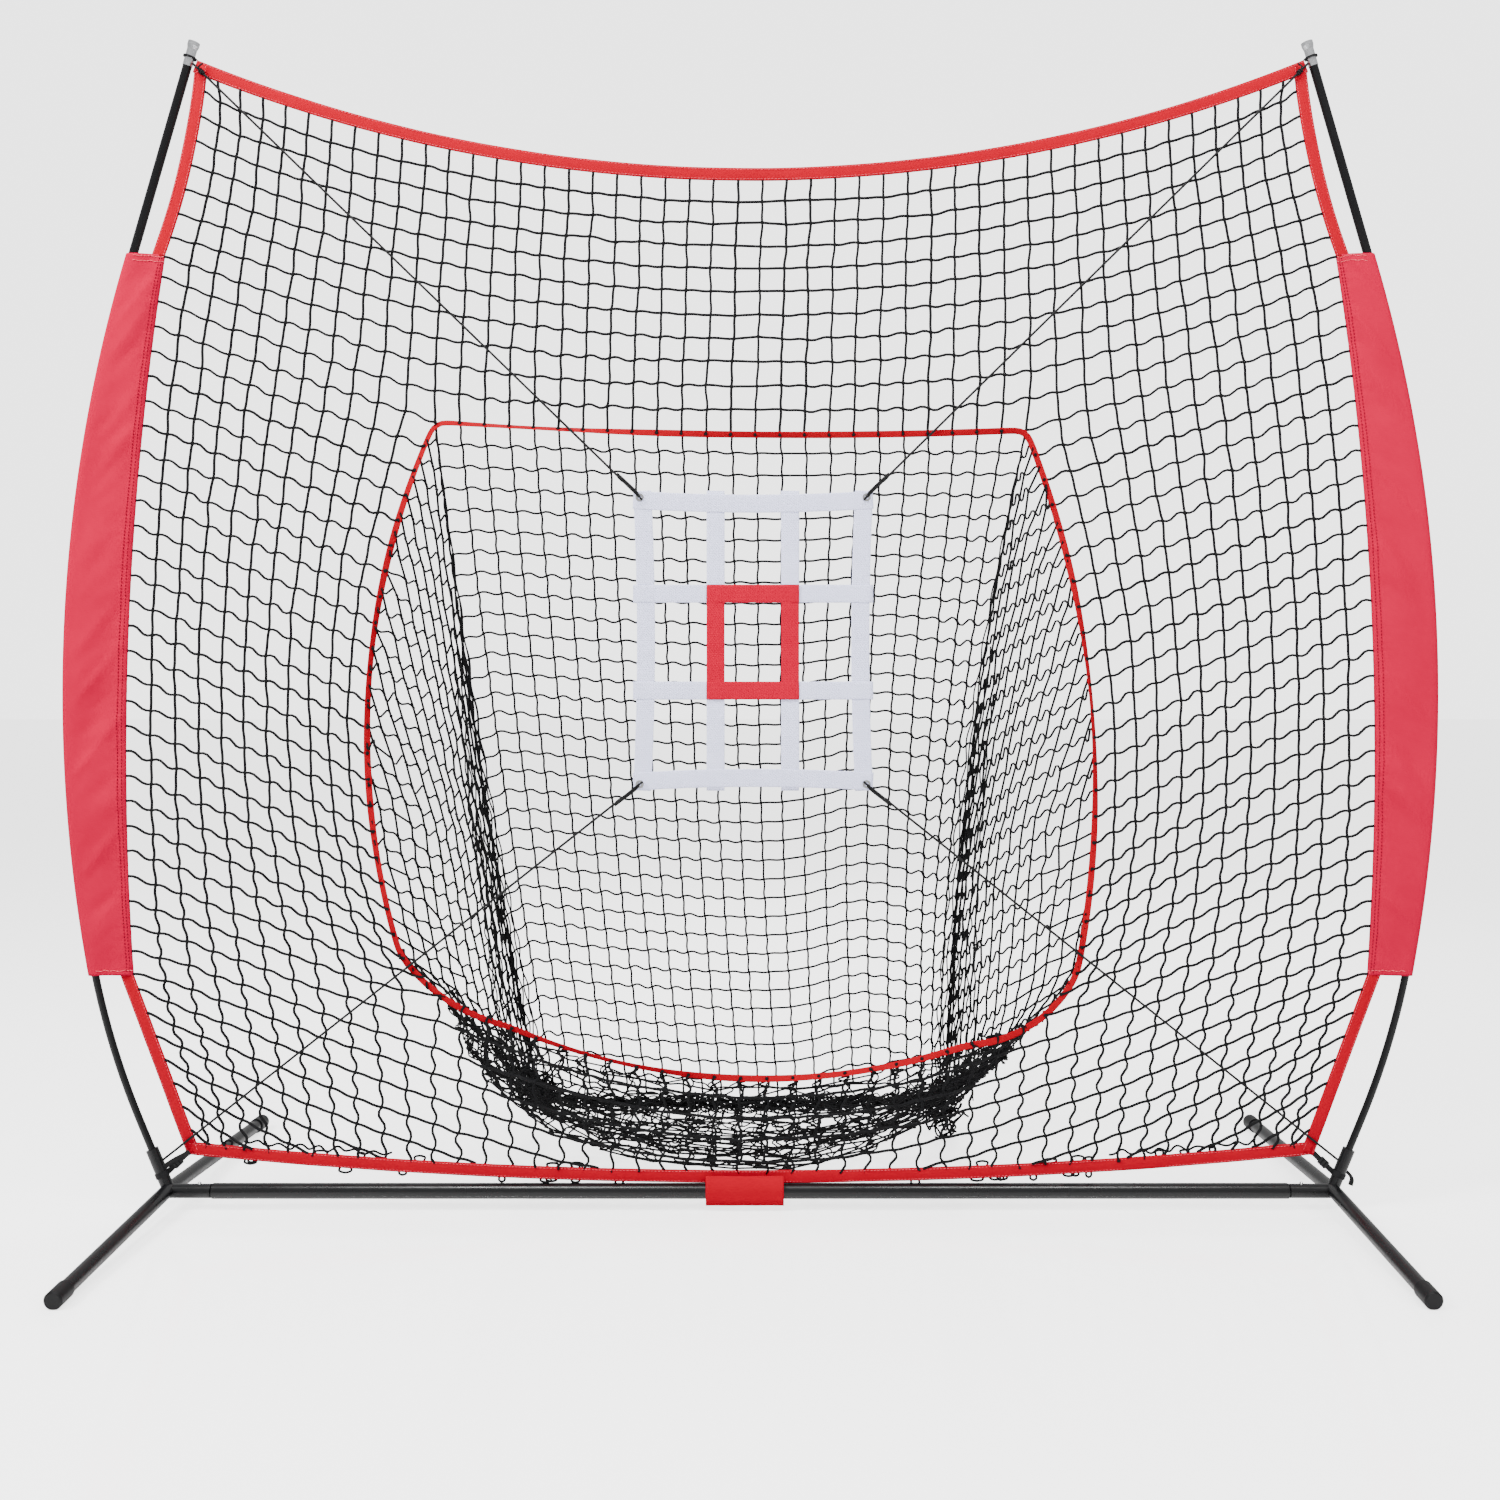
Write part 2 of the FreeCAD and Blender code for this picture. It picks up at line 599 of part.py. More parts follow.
def pole_sleeve():
    outer = []
    inner = []
    rise = SLEEVE_TOP[1] - SLEEVE_BOTTOM[1]
    for station in range(SLEEVE_STATIONS):
        z = SLEEVE_BOTTOM[1] + rise * station / (SLEEVE_STATIONS - 1)
        seam = sleeve_seam_x(z)
        outer.append(teardrop(z, SLEEVE_ROOM + SLEEVE_WALL, seam, SLEEVE_WALL))
        inner.append(teardrop(z, SLEEVE_ROOM, seam + SLEEVE_SEAM, SLEEVE_WALL * 0.3))
    shell = Part.makeLoft(outer, True, True)
    return shell.cut(Part.makeLoft(inner, True, True))


# ---------------------------------------------------------------- bag

def skin(rows, push):
    """A sheet of flat facets through rows of points, given its thickness one way."""
    far = [[point + push for point in row] for row in rows]
    faces = []
    for near_rows, flip in ((rows, False), (far, True)):
        for row, above in zip(near_rows, near_rows[1:]):
            for a, b, c, d in zip(row, row[1:], above[1:], above):
                faces.append(facet([a, b, c], flip))
                faces.append(facet([a, c, d], flip))
    rim = boundary(rows)
    far_rim = boundary(far)
    for a, b, c, d in zip(rim, rim[1:] + rim[:1], far_rim[1:] + far_rim[:1], far_rim):
        faces.append(facet([a, b, c, d], True))
    solid = Part.makeSolid(Part.makeShell(faces))
    return solid if solid.Volume > 0 else solid.reversed()


def facet(points, flip):
    order = list(reversed(points)) if flip else points
    return Part.Face(Part.makePolygon(order + [order[0]]))


def boundary(rows):
    """The grid's outer points once round."""
    last = [row[-1] for row in rows[1:-1]]
    first = [row[0] for row in reversed(rows[1:-1])]
    return rows[0] + last + list(reversed(rows[-1])) + first


def seam(side, gap=0.0):
    """Points down the bag's side seam, from the mouth's top corner to the bag's foot."""
    corner = at(MOUTH_SIDES[side][0], TRIM_T / 2.0)
    line_of_seam = arc(corner, seam_middle(side), seam_foot(side))
    return [point + V(side * gap, 0, -gap) for point in line_of_seam.discretize(BAG_FACETS + 1)]


def seam_middle(side):
    return V(BAG_MID[0 if side < 0 else 1], BAG_MID[2], BAG_MID[3])


def seam_foot(side):
    return V(BAG_FOOT[0 if side < 0 else 1], BAG_DEPTH, BAG_FOOT[2])


def slung(left_end, right_end, drop, billow=0.0):
    """A row of points hanging between two ends."""
    lowest = (left_end + right_end) * 0.5 + V(0, billow, -drop)
    return arc(left_end, lowest, right_end).discretize(BAG_FACETS + 1)


def bag():
    front = TRIM_T / 2.0
    back = []
    for step, (left_end, right_end) in enumerate(zip(seam(-1), seam(1))):
        swell = math.sin(math.pi * step / BAG_FACETS)
        back.append(slung(left_end, right_end, BAG_SAG, BAG_BILLOW * swell))
    save("bag_back", skin(back, V(0, NET_T, 0)).cut(bag_openings()))
    for side, name in ((-1, "bag_left_side"), (1, "bag_right_side")):
        corner, belly, low = [at(point, front) for point in MOUTH_SIDES[side]]
        rim = arc(corner, belly, low).discretize(BAG_FACETS + 1)
        save(name, skin([seam(side, SEAM_GAP), rim], V(side * NET_T, 0, 0)))
    save("bag_bottom", bag_belly(front))


def bag_openings():
    """Openings of the bag's back panel, inside its seams, top edge and foot."""
    sides = [[(point.x - side * NET_BAR, point.z) for point in seam(side)] for side in (-1, 1)]
    edge = sides[0] + list(reversed(sides[1]))
    face = Part.Face(Part.makePolygon([at(point) for point in edge + edge[:1]]))
    panel = face.extrude(V(0, 2 * BAG_DEPTH, 0))
    panel.translate(V(0, -BAG_DEPTH / 2.0, 0))
    low = BAG_FOOT[2] + BAG_SAG
    high = MOUTH_TOP_MID[1] - BAG_SAG
    belt = Part.makeBox(2 * HUB_SPAN, 4 * BAG_DEPTH, high - low, V(-HUB_SPAN, -2 * BAG_DEPTH, low))
    region = panel.common(belt)
    return net_openings(region, (MOUTH_TOP_LEFT[0], low), (MOUTH_TOP_RIGHT[0], high), BAG_OPENING_COUNT)


def bag_belly(front):
    """Slung rows from the mouth's lower edge, under the belly and up to the bag's foot."""
    mouth = arc(at(MOUTH_LEFT_LOW, front), at(MOUTH_BOTTOM_MID, front), at(MOUTH_RIGHT_LOW, front))
    rows = [mouth.discretize(BAG_FACETS + 1)]
    inward = V(SEAM_GAP, 0, 0)
    for depth, low_z in BELLY_ROWS:
        left_end = belly_edge(-1, depth) + inward
        right_end = belly_edge(1, depth) - inward
        rows.append(slung(left_end, right_end, (left_end.z + right_end.z) / 2.0 - low_z))
    hem = V(0, SEAM_GAP, NET_T)
    rows.append([point - hem for point in slung(seam_foot(-1), seam_foot(1), BAG_SAG)])
    return skin(rows, V(0, 0, -NET_T))


def belly_edge(side, depth):
    """A point on the straight lower edge of a bag side, between the mouth and the foot."""
    low = at(MOUTH_SIDES[side][2], TRIM_T / 2.0)
    return low + (seam_foot(side) - low) * (depth / BAG_DEPTH)


# ---------------------------------------------------------------- strap target

def strap(x, z, width, height, layer):
    """A flat webbing strip centred at x, z; layers stack towards the thrower."""
    front = -(layer + 1) * STRAP_T
    return Part.makeBox(width, STRAP_T, height, V(x - width / 2.0, front, z - height / 2.0))


def grommet_places():
    half_x = TARGET_SIZE[0] / 2.0 - GROMMET_INSET
    half_z = TARGET_SIZE[1] / 2.0 - GROMMET_INSET
    return [(TARGET_CENTRE[0] + i * half_x, TARGET_CENTRE[1] + k * half_z)
            for i in (-1, 1) for k in (-1, 1)]


def strap_target():
    x, z = TARGET_CENTRE
    width, height = TARGET_SIZE
    outer_x = (width - STRAP_W) / 2.0
    outer_z = (height - STRAP_W) / 2.0
    columns = [x - outer_x, INNER_STRAP_X[0], INNER_STRAP_X[1], x + outer_x]
    levels = [z - outer_z, INNER_STRAP_Z[0], INNER_STRAP_Z[1], z + outer_z]
    upright = [strap(c, z, STRAP_W, height, 0) for c in columns]
    level = [strap(x, l, width, STRAP_W, 1) for l in levels]
    mid_x = sum(INNER_STRAP_X) / 2.0
    mid_z = sum(INNER_STRAP_Z) / 2.0
    wide = INNER_STRAP_X[1] - INNER_STRAP_X[0] + STRAP_W
    high = INNER_STRAP_Z[1] - INNER_STRAP_Z[0] + STRAP_W
    frame = strap(mid_x, mid_z, wide, high, 2).cut(
        strap(mid_x, mid_z, wide - 2 * STRAP_W, high - 2 * STRAP_W, 2))
    holes = [Part.makeCylinder(GROMMET_LIP_OD / 2.0, 40, V(gx, -20, gz), V(0, 1, 0))
             for gx, gz in grommet_places()]
    save("target_vertical_straps", Part.makeCompound([s.cut(holes) for s in upright]))
    save("target_horizontal_straps", Part.makeCompound([s.cut(holes) for s in level]))
    save("target_centre_frame", frame)
    save("target_grommets", Part.makeCompound([grommet(gx, gz) for gx, gz in grommet_places()]))


def grommet(x, z):
    """A rolled eyelet: two flanges clamping the straps and a barrel through them."""
    bore = GROMMET_BORE / 2.0
    lip = GROMMET_LIP_OD / 2.0
    rim = GROMMET_OD / 2.0
    stack = 2 * STRAP_T
    flange = (GROMMET_T - stack) / 2.0
    outline = [(-flange, bore), (-flange, rim), (0, rim), (0, lip), (stack, lip), (stack, rim),
               (stack + flange, rim), (stack + flange, bore)]
    return turned(outline, V(x, -stack, z), V(0, 1, 0))


# ---------------------------------------------------------------- cords, ties and straps

def elastic_cord(side, high):
    """A taut elastic cord from a target corner's eyelet to the front of the pole."""
    gx = TARGET_CENTRE[0] + side * (TARGET_SIZE[0] / 2.0 - GROMMET_INSET)
    gz = TARGET_CENTRE[1] + (1 if high else -1) * (TARGET_SIZE[1] / 2.0 - GROMMET_INSET)
    radius = (TIP_NECK_OD if high else SOCKET_OD) / 2.0 + ELASTIC_D / 2.0 + CORD_GAP
    x, z, lean = pole_point(POLE_LENGTH - 16.0 if high else CORD_HEIGHT)
    inset = math.sqrt(radius ** 2 - ELASTIC_FRONT ** 2)
    end = V(side * (x - math.cos(lean) * inset), -ELASTIC_FRONT, z + math.sin(lean) * inset)
    start = V(gx, -ELASTIC_FRONT, gz)
    run = end - start
    return tube(start, run, run.Length, ELASTIC_D)


def webbing_loop(distance, inner, width, thickness):
    """A flat band round the pole or socket at a distance from the hub."""
    x, z, lean = pole_point(distance - width / 2.0)
    return tube(at((x, z)), heading(distance), width, inner + 2 * thickness, inner)


def corner_tie():
    """Cord wound round the pole's tip and knotted through the wall's top corner."""
    distance = POLE_LENGTH - 6.0
    core = TIP_NECK_OD + 2 * CORD_GAP
    ring = webbing_loop(distance, core, TIE_D, TIE_D)
    x, z, lean = pole_point(distance - TIE_D / 2.0)
    inset = core / 2.0 + TIE_D / 2.0
    start = V(TOP_CORNER[0] - TIE_D, 0, TOP_CORNER[1] - TIE_D)
    run = V(x - math.cos(lean) * inset, 0, z + math.sin(lean) * inset) - start
    knot = tube(start + run * 0.4, run, TIE_D * 1.6, TIE_D * 2.2)
    tie = ring.fuse([tube(start, run, run.Length, TIE_D), knot])
    tip = tube(at(pole_point(POLE_LENGTH - TIP_LENGTH)[:2]), heading(distance), 2 * TIP_LENGTH, core)
    return largest(tie.cut([tip, flat(wall_outline(0.0), 3 * BORDER_T, -1.5 * BORDER_T)]))


def corner_strap():
    """Webbing round the pole socket, drawn tight to the wall's bottom corner."""
    distance = STRAP_HEIGHT
    loop = webbing_loop(distance, SOCKET_OD + 0.4, WEBBING_W, WEBBING_T)
    x, z, lean = pole_point(distance)
    inner = SOCKET_OD / 2.0 + WEBBING_T * 0.5
    start = V(x - math.cos(lean) * inner, 0, z + math.sin(lean) * inner)
    end = V(BOTTOM_CORNER[0] - 1.0, 0, BOTTOM_CORNER[1] + 6.0)
    run = end - start
    tail = Part.makeBox(run.Length, WEBBING_T, WEBBING_W, V(0, -WEBBING_T / 2.0, -WEBBING_W / 2.0))
    tail.rotate(V(0, 0, 0), V(0, 1, 0), -math.degrees(math.atan2(run.z, run.x)))
    tail.translate(start)
    socket = tube(at(pole_point(0)[:2]), heading(0), 200, SOCKET_OD + 0.4)
    border = flat(wall_outline(0.0), BORDER_T, -BORDER_T / 2.0)
    return largest(loop.fuse(tail).cut(socket).cut(border)), start + run * 0.45, run


def ladder_buckle(middle, run):
    """A moulded ladder-lock plate round the strap, with two crossing slots."""
    length, width, depth = BUCKLE_SIZE
    plate = Part.makeBox(length, depth, width, V(-length / 2.0, -depth / 2.0, -width / 2.0))
    plate = plate.makeFillet(0.9, [e for e in plate.Edges if abs(e.Length - depth) < 0.01])
    slot = Part.makeBox(length + 2, WEBBING_T + 0.4, WEBBING_W + 0.6,
                        V(-length / 2.0 - 1, -WEBBING_T / 2.0 - 0.2, -WEBBING_W / 2.0 - 0.3))
    plate = plate.cut(slot)
    for x in (-length * 0.22, length * 0.22):
        window = Part.makeBox(3.0, depth, WEBBING_W, V(x - 1.5, -depth, -WEBBING_W / 2.0))
        plate = plate.cut(window)
    plate.rotate(V(0, 0, 0), V(0, 1, 0), -math.degrees(math.atan2(run.z, run.x)))
    plate.translate(middle)
    return plate


def crossbar_tab():
    """A fabric loop sewn to the bottom border and hung round the crossbar."""
    top = BOTTOM_SAG_Z - 0.2
    inside = BAR_OD / 2.0 + 0.4
    bottom = BAR_Z - TAB_DROP + TAB_T
    edges = loop_profile(inside, bottom, top)
    outer = loop_profile(inside + TAB_T, bottom - TAB_T, top)
    start = TAB_CENTRE_X - TAB_W / 2.0
    shell = Part.Face(Part.Wire(outer)).cut(Part.Face(Part.Wire(edges)))
    shell = shell.Faces[0]
    shell.translate(V(start, 0, 0))
    return shell.extrude(V(TAB_W, 0, 0))


def loop_profile(half, bottom, top):
    """Sideways U: straight flanks past the bar and a round bight under it."""
    level = bottom + half
    return [line(V(0, -half, top), V(0, -half, level)),
            arc(V(0, -half, level), V(0, 0, bottom), V(0, half, level)),
            line(V(0, half, level), V(0, half, top)),
            line(V(0, half, top), V(0, -half, top))]


def soft_fittings():
    for side, name in ((-1, "left"), (1, "right")):
        save("upper_%s_cord" % name, elastic_cord(side, True))
        save("lower_%s_cord" % name, elastic_cord(side, False))
    both("upper_ties", [corner_tie()])
    strap_shape, middle, run = corner_strap()
    both("lower_straps", [strap_shape])
    both("lower_buckles", [ladder_buckle(middle, run)])
    save("crossbar_tab", crossbar_tab())


os.makedirs("parts", exist_ok=True)
base_frame()
crossbar()
snap_buttons()
poles()
netting_wall()
borders()
bag()
strap_target()
soft_fittings()
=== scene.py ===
import json
import math
import random

import bmesh
import bpy
import numpy as np
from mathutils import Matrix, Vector, noise


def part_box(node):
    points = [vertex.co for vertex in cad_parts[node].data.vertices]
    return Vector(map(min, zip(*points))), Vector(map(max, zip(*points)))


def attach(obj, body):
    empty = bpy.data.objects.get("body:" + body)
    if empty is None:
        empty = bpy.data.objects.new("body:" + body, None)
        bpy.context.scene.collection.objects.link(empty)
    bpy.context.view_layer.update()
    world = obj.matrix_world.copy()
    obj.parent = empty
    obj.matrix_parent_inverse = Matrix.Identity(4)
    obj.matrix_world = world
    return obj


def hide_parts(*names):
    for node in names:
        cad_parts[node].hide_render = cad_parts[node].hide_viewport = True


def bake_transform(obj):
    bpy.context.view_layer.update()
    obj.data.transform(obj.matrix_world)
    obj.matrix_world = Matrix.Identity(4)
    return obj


# Dressed model of a free-standing pitching target net: knotted twine netting,
# sewn red tape and sleeves, woven target straps and elastic cords on the tube base.
# Lengths are metres: X to the thrower's right, Y away from the thrower, Z up.

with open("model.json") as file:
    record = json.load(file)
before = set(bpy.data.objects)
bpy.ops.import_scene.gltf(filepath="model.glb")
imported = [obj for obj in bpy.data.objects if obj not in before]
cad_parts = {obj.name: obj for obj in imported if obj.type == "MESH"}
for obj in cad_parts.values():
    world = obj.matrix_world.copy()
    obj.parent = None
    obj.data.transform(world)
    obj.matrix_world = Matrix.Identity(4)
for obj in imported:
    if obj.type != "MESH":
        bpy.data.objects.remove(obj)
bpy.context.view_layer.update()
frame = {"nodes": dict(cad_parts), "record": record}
bpy.ops.object.select_all(action="DESELECT")
NODES = frame["nodes"]
CHANCE = random.Random(7)

# ---------------------------------------------------------------- sizes

# The plane of the net, in front of the middle of the stand, and the sign of X on each side
NET_Y = -0.029
SIDE_OF = {"left": -1, "right": 1}

# Twine: radii, the width of a mesh, and how finely a strand is drawn
TWINE_R = 0.0026
BAG_TWINE_R = 0.0022
BELLY_TWINE_R = 0.0018
LOOSE_R = 0.0016
KNOT_R = 0.0040
BAG_KNOT_SHARE = 1.5
MESH = 0.0436
STEPS_PER_MESH = 6
BAG_SIDES = 5

# The wall's grid of crossings; the mouth lies between its two columns and its two rows
WALL_COLUMNS = 47
WALL_ROWS = 45
MOUTH_COLUMNS = (11, 35)
MOUTH_ROWS = (11, 34)
LOWEST_ROW_Z = -0.24
CROSSING_SLACK = (0.0012, 0.0015, 0.0012)

# The wall's outline in the plane of the net, as (x, z) on its right-hand side, and its tapes
TOP_CORNER = (1.021, 2.114)
TOP_SAG_Z = 1.915
UPPER_EDGE_MID = (1.035, 1.908)
SLEEVE_TOP = (1.076, 1.756)
SLEEVE_MID = (1.143, 1.080)
SLEEVE_BOTTOM = (1.134, 0.431)
BOTTOM_CORNER = (1.033, 0.101)
BOTTOM_SAG_Z = 0.0485
BORDER_W = 0.024
BORDER_T = 0.0034
HEM = BORDER_W / 2 - 0.001
TAPE_STITCH = 0.0088
TAPE_STITCH_SIZE = (0.0042, 0.0064, 0.0004)
TAPE_TUCK = 1.4
UPPER_EDGE_LEAN = 0.6

# Slack twine along the bottom tape: loops, and a loose strand on each side between two places
LOOP_COUNT = 16
LOOP_SPAN = (0.16, 0.97)
LOOP_WIDTH = (0.004, 0.010)
LOOP_REACH = (0.006, 0.011)
LOOP_DEPTH = 0.0022
LOOSE_SPAN = (0.66, 0.93)
LOOSE_LIFT = 0.008
LOOSE_DEPTH = 0.003

# Sleeves: cloth, the loop round the pole, the CAD band that its outline is read from, and the
# grid columns and rows that the seam's and the hems' stitches follow
SLEEVE_CLOTH = 0.0007
SLEEVE_ROWS = 300
SLEEVE_LOOP = 0.0107
SLEEVE_FLAT_STEPS = 14
SLEEVE_ROUND_STEPS = 12
SLEEVE_BAND = 0.004
SEAM_COLUMNS = (1, 2)
HEM_ROWS = (1, 3, -3)
SEAM_STITCH_SIZE = (0.0034, 0.0062, 0.0006)
HEM_STITCH_SIZE = (0.0052, 0.0062, 0.0006)
STITCH_LIFT = 0.0006

# The fabric loop round the crossbar
TAB_CLOTH = 0.0010
TAB_INSET = 0.0006
TAB_TUCK = 0.018
TAB_SWELL = 0.0004
TAB_TURN_STEPS = 14

# The mouth's outline in the plane of the net, and the tape sewn round it
MOUTH_TOP_LEFT = (-0.580, 1.448)
MOUTH_TOP_MID = (-0.036, 1.425)
MOUTH_TOP_RIGHT = (0.507, 1.433)
MOUTH_RIGHT_MID = (0.634, 0.800)
MOUTH_RIGHT_LOW = (0.601, 0.434)
MOUTH_RIGHT_CORNER = (0.542, 0.357)
MOUTH_BOTTOM_RIGHT = (0.399, 0.302)
MOUTH_BOTTOM_MID = (-0.024, 0.241)
MOUTH_BOTTOM_LEFT = (-0.446, 0.337)
MOUTH_LEFT_CORNER = (-0.570, 0.393)
MOUTH_LEFT_LOW = (-0.645, 0.469)
MOUTH_LEFT_MID = (-0.704, 0.817)
MOUTH_TAPE_W = 0.0125
MOUTH_TAPE_T = 0.0014
MOUTH_TAPE_POINTS = 420
MOUTH_TAPE_SMOOTHINGS = 4

# The bag: its seams and feet for the left (-1) and right (1) side, and the fall of its panels
BAG_DEPTH = 0.420
BAG_SEAM_MID = {-1: (-0.535, 0.220, 0.760), 1: (0.425, 0.220, 0.760)}
BAG_FOOT = {-1: (-0.456, 0.420, 0.087), 1: (0.402, 0.420, 0.087)}
MOUTH_EDGE = {-1: (MOUTH_TOP_LEFT, MOUTH_LEFT_MID, MOUTH_LEFT_LOW, MOUTH_LEFT_CORNER),
              1: (MOUTH_TOP_RIGHT, MOUTH_RIGHT_MID, MOUTH_RIGHT_LOW, MOUTH_RIGHT_CORNER)}
BAG_SAG = 0.014
BAG_HEIGHT = 1.45
BACK_SWELL = 0.014
BACK_TIGHT_LEFT = (0.25, 0.05)
BACK_TIGHT_RIGHT = (0.10, 0.25, 0.45, 0.60, 0.70)
BELLY_LOW = ((0.110, 0.036), (0.300, 0.031))
BELLY_FULLNESS = (0.92, 1.6)
BACK_ROWS = 34
BACK_COLUMNS = 24
LEFT_CREST = 0.034
RIGHT_CREST = 0.036
SIDE_ROWS = 31
SIDE_FAN = (0.5, 1.3)
GATHER = {-1: 0.86, 1: 0.88}
GATHER_REACH = 6.0
BELLY_ROWS = 17

# Gathered twine: seam sheaves as (side, strands, width), the foot's strands, and the corner
# lumps as (size, lift) with their count of curls
SEAM_SHEAVES = ((-1, 11, 0.085), (1, 7, 0.080))
FOOT_STRANDS = 20
EDGE_STRANDS = 4
CORNER_LUMPS = ((0.032, 0.012), (0.042, -0.016))
CURLS_PER_LUMP = 30
CURL_CLEARANCE = 0.002

# Camera, sky and floor
CAMERA_PLACE = (0.069, -2.795, 0.990)
CAMERA_LENS = 36.1
CAMERA_SHIFT = (-0.0253, -0.0527)
SKY = 0.6
SKY_IN_GLOSS = 0.7
BACKDROP = 3.2
FLOOR_GLOW = 2.2

# Target straps; PULL is how far the outer straps are drawn in at their middles
STRAP_W = 0.033
STRAP_T = 0.0012
STRAP_POINTS = 60
PULL = 0.007
INNER_COLUMNS = (-0.064, 0.073)
INNER_LEVELS = (0.954, 1.132)

# Elastic cords, their crimps and hitches, and the lower straps' loose ends
ELASTIC_D = 0.0044
DOUBLED_R = ELASTIC_D / 2 * 0.9
HITCH_R = ELASTIC_D / 2 * 0.8
HITCH_AT = 0.022
HITCH_COIL_R = 0.0036
HITCH_HALF_LENGTH = 0.005
HITCH_TURNS = 2.5
HITCH_POINTS = 40
CRIMP_AT = 0.040
CRIMP_LENGTH = 0.014
CRIMP_SWELL = (0.55, 0.85, 0.95, 0.9, 0.95, 0.9, 0.75, 0.4)
TAIL_W = 0.010
TAIL_T = 0.0014
EYELETS = {(s, h): (0.005 + s * 0.2085, NET_Y - 0.0051, 1.0455 + h * 0.2635)
           for s in (-1, 1) for h in (-1, 1)}


# ---------------------------------------------------------------- lines

def at(place, depth=0.0):
    """A point of the net plane, or some way behind it."""
    return np.array((place[0], NET_Y + depth, place[1]), float)


def arc(start, through, end, count):
    """Evenly spaced points on the circle through three points."""
    a, b, c = (np.array(p, float) for p in (start, through, end))
    u = b - a
    v = c - a
    n = np.cross(u, v)
    size = n @ n
    if size < 1e-12:
        return np.linspace(a, c, count)
    centre = a + np.cross((u @ u) * v - (v @ v) * u, n) / (2 * size)
    first = a - centre
    second = np.cross(n / math.sqrt(size), first)
    swing = math.atan2((c - centre) @ second, (c - centre) @ first) % (2 * math.pi)
    turn = np.linspace(0, swing, count)[:, None]
    return centre + np.cos(turn) * first + np.sin(turn) * second


def joined(*runs):
    """Runs of points end to end, shared ends once."""
    out = [runs[0]]
    for run in runs[1:]:
        out.append(run[1:])
    return np.concatenate(out)


def lengths(line):
    """The distance along a line at each of its points."""
    steps = np.linalg.norm(np.diff(line, axis=0), axis=1)
    return np.concatenate([[0.0], np.cumsum(steps)])


def spaced(line, count):
    """The same line with evenly spaced points."""
    run = lengths(line)
    wanted = np.linspace(0, run[-1], count)
    return np.stack([np.interp(wanted, run, line[:, k]) for k in range(3)], axis=1)


def mirrored(place):
    return (-place[0], place[1])


# ---------------------------------------------------------------- meshes

def piece(name, points, faces, uvs=None):
    """A mesh object at the origin, with a UV map in metres where one is given."""
    mesh = bpy.data.meshes.new(name)
    mesh.from_pydata(np.asarray(points).tolist(), [], faces)
    if uvs is not None:
        layer = mesh.uv_layers.new(name="lay")
        layer.data.foreach_set("uv", np.asarray(uvs, np.float32).ravel())
    mesh.validate()
    mesh.update()
    made = bpy.data.objects.new(name, mesh)
    bpy.context.scene.collection.objects.link(made)
    mesh.polygons.foreach_set("use_smooth", [True] * len(mesh.polygons))
    return made


class Parts:
    """Points, faces and UVs gathered for one piece."""

    def __init__(self):
        self.points = []
        self.faces = []
        self.uvs = []
        self.count = 0

    def add(self, points, faces, uvs):
        shift = self.count
        self.points.append(points)
        self.faces.extend([[k + shift for k in face] for face in faces])
        self.uvs.extend(uvs)
        self.count += len(points)

    def made(self, name):
        return piece(name, np.concatenate(self.points), self.faces, self.uvs)


def directions(line):
    ahead = np.gradient(line, axis=0)
    return ahead / np.maximum(np.linalg.norm(ahead, axis=1), 1e-9)[:, None]


def frames(line):
    """Two directions across a line at each of its points, that turn as little as they can."""
    ahead = directions(line)
    across = np.zeros_like(ahead)
    axis = np.eye(3)[int(np.argmin(np.abs(ahead[0])))]
    for k, step in enumerate(ahead):
        side = axis - step * (axis @ step)
        axis = side / max(np.linalg.norm(side), 1e-9)
        across[k] = axis
    return across, np.cross(ahead, across)


def ring_faces(rings, corners):
    """Faces of a closed skin through rings of corners, with a cap at each end."""
    faces = []
    for k in range(rings - 1):
        low = k * corners
        for s in range(corners):
            t = (s + 1) % corners
            faces.append([low + s, low + t, low + corners + t, low + corners + s])
    last = (rings - 1) * corners
    faces.append(list(range(corners - 1, -1, -1)))
    faces.append([last + s for s in range(corners)])
    return faces


def ring_uvs(places, run):
    """UVs for the walls of such a skin; each of places is where a face begins and ends across."""
    uvs = []
    for near, far in zip(run, run[1:]):
        for u, v in places:
            uvs.extend([(u, near), (v, near), (v, far), (u, far)])
    return uvs


def tube(line, radius, sides=6):
    """A closed round tube along a line."""
    line = np.asarray(line, float)
    first, second = frames(line)
    turn = np.arange(sides) * 2 * math.pi / sides
    radius = np.broadcast_to(np.asarray(radius, float), (len(line),))[:, None, None]
    ring = first[:, None] * np.cos(turn)[None, :, None] + second[:, None] * np.sin(turn)[None, :, None]
    points = (line[:, None] + ring * radius).reshape(-1, 3)
    uvs = ring_uvs([(s / sides, (s + 1) / sides) for s in range(sides)], lengths(line))
    uvs.extend([(0.0, 0.0)] * (2 * sides))
    return points, ring_faces(len(line), sides), uvs


def ball():
    """A twenty-faced ball of radius one."""
    shape = bmesh.new()
    bmesh.ops.create_icosphere(shape, subdivisions=1, radius=1.0)
    points = np.array([v.co for v in shape.verts])
    faces = [[v.index for v in face.verts] for face in shape.faces]
    shape.free()
    return points, faces


KNOT_POINTS, KNOT_FACES = ball()
KNOT_UVS = [(0.0, 0.0)] * (3 * len(KNOT_FACES))


